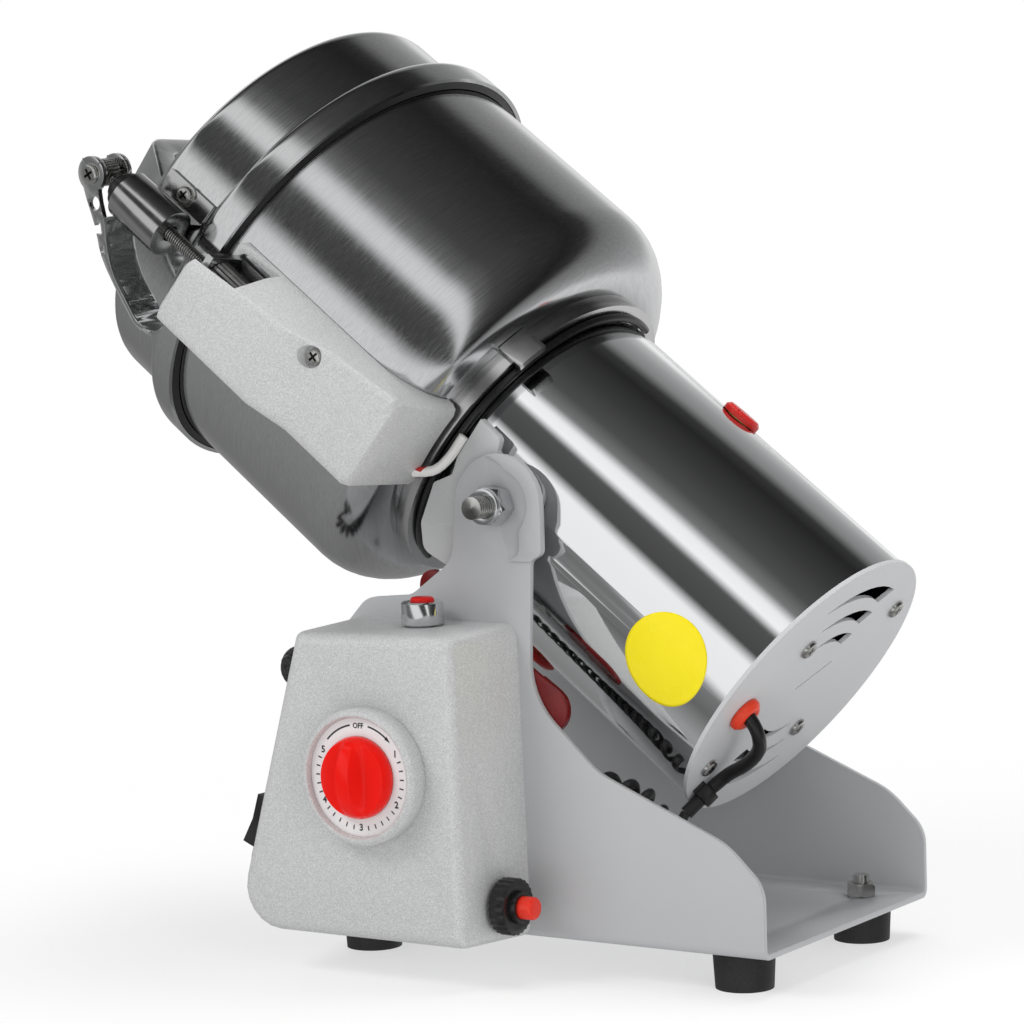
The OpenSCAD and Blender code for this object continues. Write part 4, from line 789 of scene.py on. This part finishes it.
def cross_slot(name, screws, arm_mm):
    """Plated pan heads with a cross-shaped driver slot: dished inside two crossed bars that lie square
    to the screw's axis, and painted near black there as shade. Each screw is given by its place in mm and
    its axis."""
    plate = paint(name)
    shaded_recess = None
    for centre, axis in screws:
        first, second = square_to(axis)
        spot = plate.place(centre)
        a = abs(plate.along(spot, first))
        b = abs(plate.along(spot, second))
        arm = arm_mm * MM
        bars = (a < bar_share * arm) + (b < bar_share * arm)
        inside = (a < arm) * (b < arm) * bars.held()
        shaded_recess = inside if shaded_recess is None else shaded_recess + inside
    shaded_recess = shaded_recess.held()
    cloud = plate.noise(plate.place(), 300.0, 2.0)
    metal = plate.mix(cloud, dimmed(zinc_grey, 0.8), zinc_grey)
    # The cross is painted near black: painted shade in the hollow, which the bump also dents.
    return plate.finish(Base_Color=plate.mix(shaded_recess, metal, grey(0.02)), Metallic=1.0,
                        Roughness=cloud * 0.2 + 0.18, Normal=plate.bump(1.0 - shaded_recess, 0.1))


end_face_mm = -111.0
latch_turn = 4.0
cover_seat_r_mm = 103.5
cover_screw_s_mm = 70.0
cover_screw_side_mm = 6.0
# Each screw of the end plate by its turn and by its share of the tube's radius.
end_screw_places = ((137, 0.83), (47, 0.50), (-132, 0.54), (-43, 0.83))
end_screws = [(head_mm(turn, tube_r_mm * share, end_face_mm), up_axis) for turn, share in end_screw_places]
cover_seat_mm = (head_mm(latch_turn, cover_seat_r_mm, cover_screw_s_mm)
                 + cover_screw_side_mm * head_out(latch_turn + 90))
cover_screw = (cover_seat_mm, head_out(latch_turn))
colour(["head_screws"], cross_slot("screw_zinc", [*end_screws, cover_screw], arm_mm=2.0))
smooth(["head_screws"])

# Lead on the end plate
# The black lead goes into the motor through a soft red grommet, after a P clip holds its coils.
colour(["lead_grommet"], moulded("grommet_red", (0.78, 0.045, 0.012), 0.35))
smooth(["lead_grommet"], edge_mm=0.5)
colour(["lead_sleeve"], rubber("sleeve_black", 0.008, 0.35))
smooth(["lead_sleeve"], angle=50)
colour(["lead_clip"], black_moulding)
smooth(["lead_clip"], edge_mm=0.3)

# Motor
# Inside the tube: two cast frames with bearings, a laminated stator with copper coils, and the
# rotor with its armature, commutator and fan. Two carbon brushes slide in brass holders.


def cast_metal(name, base, roughness=0.45, grain_mm=0.05):
    """Cast or turned metal, left as it is: an even grain in its colour, shine and surface."""
    metal = paint(name)
    grain = metal.noise(metal.place(), 500.0, 4.0)
    return metal.finish(Base_Color=metal.mix(grain, dimmed(base, 0.75), base), Metallic=1.0,
                        Roughness=grain * 0.3 + (roughness - 0.15), Normal=metal.bump(grain, grain_mm))


sheet_t = 0.0007
stack_middle = -0.057
stack_half = 0.0212


def laminated(name):
    """Stacked iron sheets with copper beyond them: fine lines across the head's axis, and wound
    wire above and below the stack."""
    stack = paint(name)
    height = stack.along(stack.place(pivot_mm), up_axis)
    line = (height * (2 * math.pi / sheet_t)).sine() * 0.5 + 0.5
    coil = (abs(height - stack_middle) > stack_half).held()
    wire = stack.noise(stack.place(), 1800.0, 2.0)
    iron = stack.mix(line, (0.10, 0.10, 0.11), (0.32, 0.32, 0.33))
    copper = stack.mix(wire, (0.30, 0.10, 0.03), (0.62, 0.26, 0.10))
    return stack.finish(Base_Color=stack.mix(coil, iron, copper), Metallic=1.0, Roughness=line * 0.1 + 0.35,
                        Normal=stack.bump(line * 0.5 + wire * 0.5, 0.05))


colour(["upper_frame", "lower_frame"], cast_metal("cast_frame", (0.55, 0.56, 0.57)))
colour(["stator", "armature"], laminated("core_and_wire"))
colour(["motor_bearings", "rotor_shaft"], plated("ground_steel", (0.58, 0.58, 0.59), 0.18))
colour(["brush_holders"], cast_metal("brass_holder", (0.62, 0.45, 0.16), 0.35, 0.02))
colour(["carbon_brushes"], rubber("carbon", 0.03, 0.7))
colour(["commutator"], cast_metal("copper_bars", (0.62, 0.28, 0.12), 0.3, 0.02))
colour(["cooling_fan"], moulded("fan_black", grey(0.014), 0.45))
smooth(["upper_frame", "lower_frame", "stator", "armature", "motor_bearings", "rotor_shaft",
        "brush_holders", "carbon_brushes", "commutator", "cooling_fan"])
colour(["brush_caps"], moulded("cap_red", (0.60, 0.02, 0.015), 0.3))
smooth(["brush_caps"], edge_mm=0.3)

# Neck and trunnions
# A black rubber ring and a steel collar join the tube to the bowl. A plate on each side of the
# collar is bolted to an ear of the tray, with a stud, a flange nut and a washer, and swings there.


def neck_steel(name):
    """Polished plate with a soft cloudiness in its brightness and its shine."""
    steel = paint(name)
    cloud = steel.noise(steel.place(), 90.0, 3.0)
    return steel.finish(Base_Color=steel.mix(cloud, grey(0.52), grey(0.66)), Metallic=1.0,
                        Roughness=cloud * 0.2 + 0.14, Normal=steel.bump(cloud, 0.01))


colour(["neck_collar"], neck_steel("collar_steel"))
smooth(["neck_collar"], edge_mm=0.25)
colour(["trunnion_plates"], gloss_coat("trunnion_coat", (0.46, 0.465, 0.47), 0.28))
smooth(["trunnion_plates"], edge_mm=0.4)


def threaded(name, centre_mm, axis, pitch_mm):
    """Plated steel with a screw thread: the height of the surface is a wave along the axis,
    moved on by one pitch for each turn round it. The same wave paints shade into the thread's grooves."""
    first, second = square_to(axis)
    plate = paint(name)
    spot = plate.place(centre_mm)
    angle = plate.along(spot, first).angle_from(plate.along(spot, second))
    wave = (plate.along(spot, axis) * (2 * math.pi / (pitch_mm * MM)) + angle).sine() * 0.5 + 0.5
    cloud = plate.noise(spot, 250.0, 2.0)
    # Painted shade: the thread's grooves are darkened, and its crests keep the plate's own colour.
    metal = plate.mix(wave, dimmed(zinc_grey, 0.35), zinc_grey)
    return plate.finish(Base_Color=metal, Metallic=1.0, Roughness=cloud * 0.2 + 0.16,
                        Normal=plate.bump(wave, 0.35))


colour(["pivot_studs"], threaded("stud_thread", pivot_mm, near_axis, pitch_mm=1.25))
colour(["pivot_nuts"], trim_chrome)
smooth(["pivot_studs", "pivot_nuts"], edge_mm=0.3)

# Bowl and blades
# A deep drawn stainless bowl, spun and brushed round its axis. Two forged blades are clamped on
# the end of the motor's shaft in its floor.


def spun_steel(name, base=(0.68, 0.685, 0.695), roughness=0.12):
    """Steel brushed round the head's axis: lines that are long round it and fine along it, in
    the roughness and the surface, and broad soft bands where the brush pressed harder."""
    steel = paint(name)
    spot = steel.place(pivot_mm)
    height = steel.along(spot, up_axis)
    out = steel.along(spot, out_axis)
    near = steel.along(spot, near_axis)
    angle = out.angle_from(near)
    line = steel.noise(steel.joined(angle * 2.5, height * 1500.0, (abs(out) + abs(near)) * 500.0), 1.0, 2.0)
    band = steel.noise(steel.joined(angle * 0.7, height * 60.0, 0.0), 1.0, 2.0)
    rough = line * 0.14 + band * 0.10 + (roughness - 0.11)
    return steel.finish(Base_Color=steel.mix(line, dimmed(base, 0.72), base), Metallic=1.0, Roughness=rough,
                        Normal=steel.bump(line, 0.002))


def brushed_plate(name, base, roughness):
    """Sheet with a straight grain: fine lines all one way across the plate."""
    plate = paint(name)
    spot = plate.place(pivot_mm)
    across = plate.along(spot, near_axis)
    up = plate.along(spot, out_axis)
    line = plate.noise(plate.joined(across * 40.0, up * 3000.0, 0.0), 1.0, 3.0)
    return plate.finish(Base_Color=base, Metallic=1.0, Roughness=line * 0.22 + (roughness - 0.1),
                        Normal=plate.bump(line, 0.004))


colour(["bowl"], spun_steel("bowl_steel"))
smooth(["bowl"], angle=40)
colour(["lower_blade", "upper_blade"], brushed_plate("blade_steel", (0.60, 0.605, 0.61), 0.28))
colour(["blade_nut"], fastener_zinc)
smooth(["lower_blade", "upper_blade", "blade_nut"], edge_mm=0.2)

# Latch on the bowl
# A bent steel strap carries the latch's threaded rod, with a knurled nut that sets its pull.
# A cast cover over it, in the same silver paint as the box, hides the switch that the lid works.
colour(["latch_box"], silver_coat)
smooth(["latch_box"], edge_mm=0.5)
colour(["latch_bracket"], plated("strap_steel", (0.56, 0.565, 0.57), 0.2))
smooth(["latch_bracket"], edge_mm=0.4)
colour(["adjusting_nut"], plated("knurled_nickel", (0.60, 0.60, 0.59), 0.22))
smooth(["adjusting_nut"])
colour(["lid_switch"], black_moulding)
smooth(["lid_switch"], edge_mm=0.4)
colour(["switch_lead"], rubber("neck_rubber", 0.006, 0.3))
smooth(["switch_lead"], angle=50)


sleeve_mm = head_mm(-6.0, 60.0, 31.0)
thread_pitch = 0.0011
thread_slant = 1.7
tracer_pitch = 0.01496
tracer_from = 0.86


def braid(name):
    """Woven white sleeving: two sets of threads cross at a slant, and a red tracer shows in it
    as short dashes. The low places of the weave are painted darker, as shade between the threads."""
    sleeve = paint(name)
    spot = sleeve.place(sleeve_mm)
    run = sleeve.along(spot, near_axis) + sleeve.along(spot, out_axis) * thread_slant
    rise = sleeve.along(spot, up_axis)
    step = 2 * math.pi / thread_pitch
    left = ((run + rise) * step).sine()
    right = ((run - rise) * step).sine()
    weave = left * right * 0.5 + 0.5
    tracer = (run * (2 * math.pi / tracer_pitch)).sine()
    dash = (tracer > tracer_from) * (abs(rise) < thread_pitch)
    # Painted shade: where the weave lies low, the white threads are darkened.
    thread = sleeve.mix(weave, (0.62, 0.61, 0.59), (0.88, 0.875, 0.86))
    return sleeve.finish(Base_Color=sleeve.mix(dash, thread, (0.45, 0.03, 0.02)),
                         Roughness=weave * 0.1 + 0.75, Normal=sleeve.bump(weave, 0.12))


colour(["switch_sleeve"], braid("woven_sleeve"))
smooth(["switch_sleeve"], angle=60)

# Lid
# A spun steel lid with a skirt over the bowl's rim, and a black silicone gasket between them.
colour(["lid_shell"], spun_steel("lid_steel", (0.66, 0.665, 0.67), 0.11))
smooth(["lid_shell"], angle=40)
colour(["lid_gasket"], rubber("gasket_black", 0.010, 0.42))
smooth(["lid_gasket"], angle=40)

# Lid handle
# An arched bridge of cast alloy, tumbled and polished, channelled underneath, with two feet
# that are riveted to the lid.


def polished_cast(name, base=(0.66, 0.665, 0.67), roughness=0.2, wave_mm=0.25):
    """Tumbled casting: bright, with slow waves left by the mould and a fine satin grain."""
    metal = paint(name)
    spot = metal.place()
    wave = metal.noise(spot, 90.0, 2.0)
    grain = metal.noise(spot, 1200.0, 2.0)
    rough = wave * 0.16 + grain * 0.08 + (roughness - 0.12)
    return metal.finish(Base_Color=base, Metallic=1.0, Roughness=rough,
                        Normal=metal.bump(wave * 0.95 + grain * 0.05, wave_mm))


colour(["lid_handle"], polished_cast("handle_cast"))
smooth(["lid_handle"], angle=50, edge_mm=1.4)

# Latch strap and rod
# A strap on the lid ends in a barrel that the rod runs through. A stepped bush closes the barrel,
# and a washered screw holds the strap to the lid.
colour(["strap_barrel"], plated("barrel_nickel", (0.50, 0.505, 0.50), 0.13))
smooth(["strap_barrel"], edge_mm=0.35)
strap_turn = 10.3
strap_screw_r_mm = 85.5
strap_screw_s_mm = 162.0
strap_screw = (head_mm(strap_turn, strap_screw_r_mm, strap_screw_s_mm), head_out(strap_turn))
colour(["barrel_screw"], cross_slot("strap_screw", [strap_screw], arm_mm=1.9))
smooth(["barrel_screw"])
colour(["barrel_bush"], moulded("bush_black", grey(0.010), 0.3))
smooth(["barrel_bush"], edge_mm=0.3)
rod_r_mm = 97.8
colour(["latch_rod"], threaded("rod_thread", head_mm(latch_turn, rod_r_mm, 0.0), up_axis, pitch_mm=1.0))
smooth(["latch_rod"])

# Latch lever
# A polished lever with two cheeks and a broad web, lightened by three holes, turns on a pin
# through the rod's eye. Pressed down, it pulls the lid shut.
colour(["latch_lever"], polished_cast("lever_cast", (0.84, 0.845, 0.85), 0.14, wave_mm=0.02))
smooth(["latch_lever"], edge_mm=0.5)
pin_s_mm = 187.5
lever_turn = -7.0
lever_pin = (head_mm(latch_turn, rod_r_mm, pin_s_mm), head_out(lever_turn))
colour(["lever_pin"], cross_slot("pin_head", [lever_pin], arm_mm=2.2))
smooth(["lever_pin"], edge_mm=0.3)
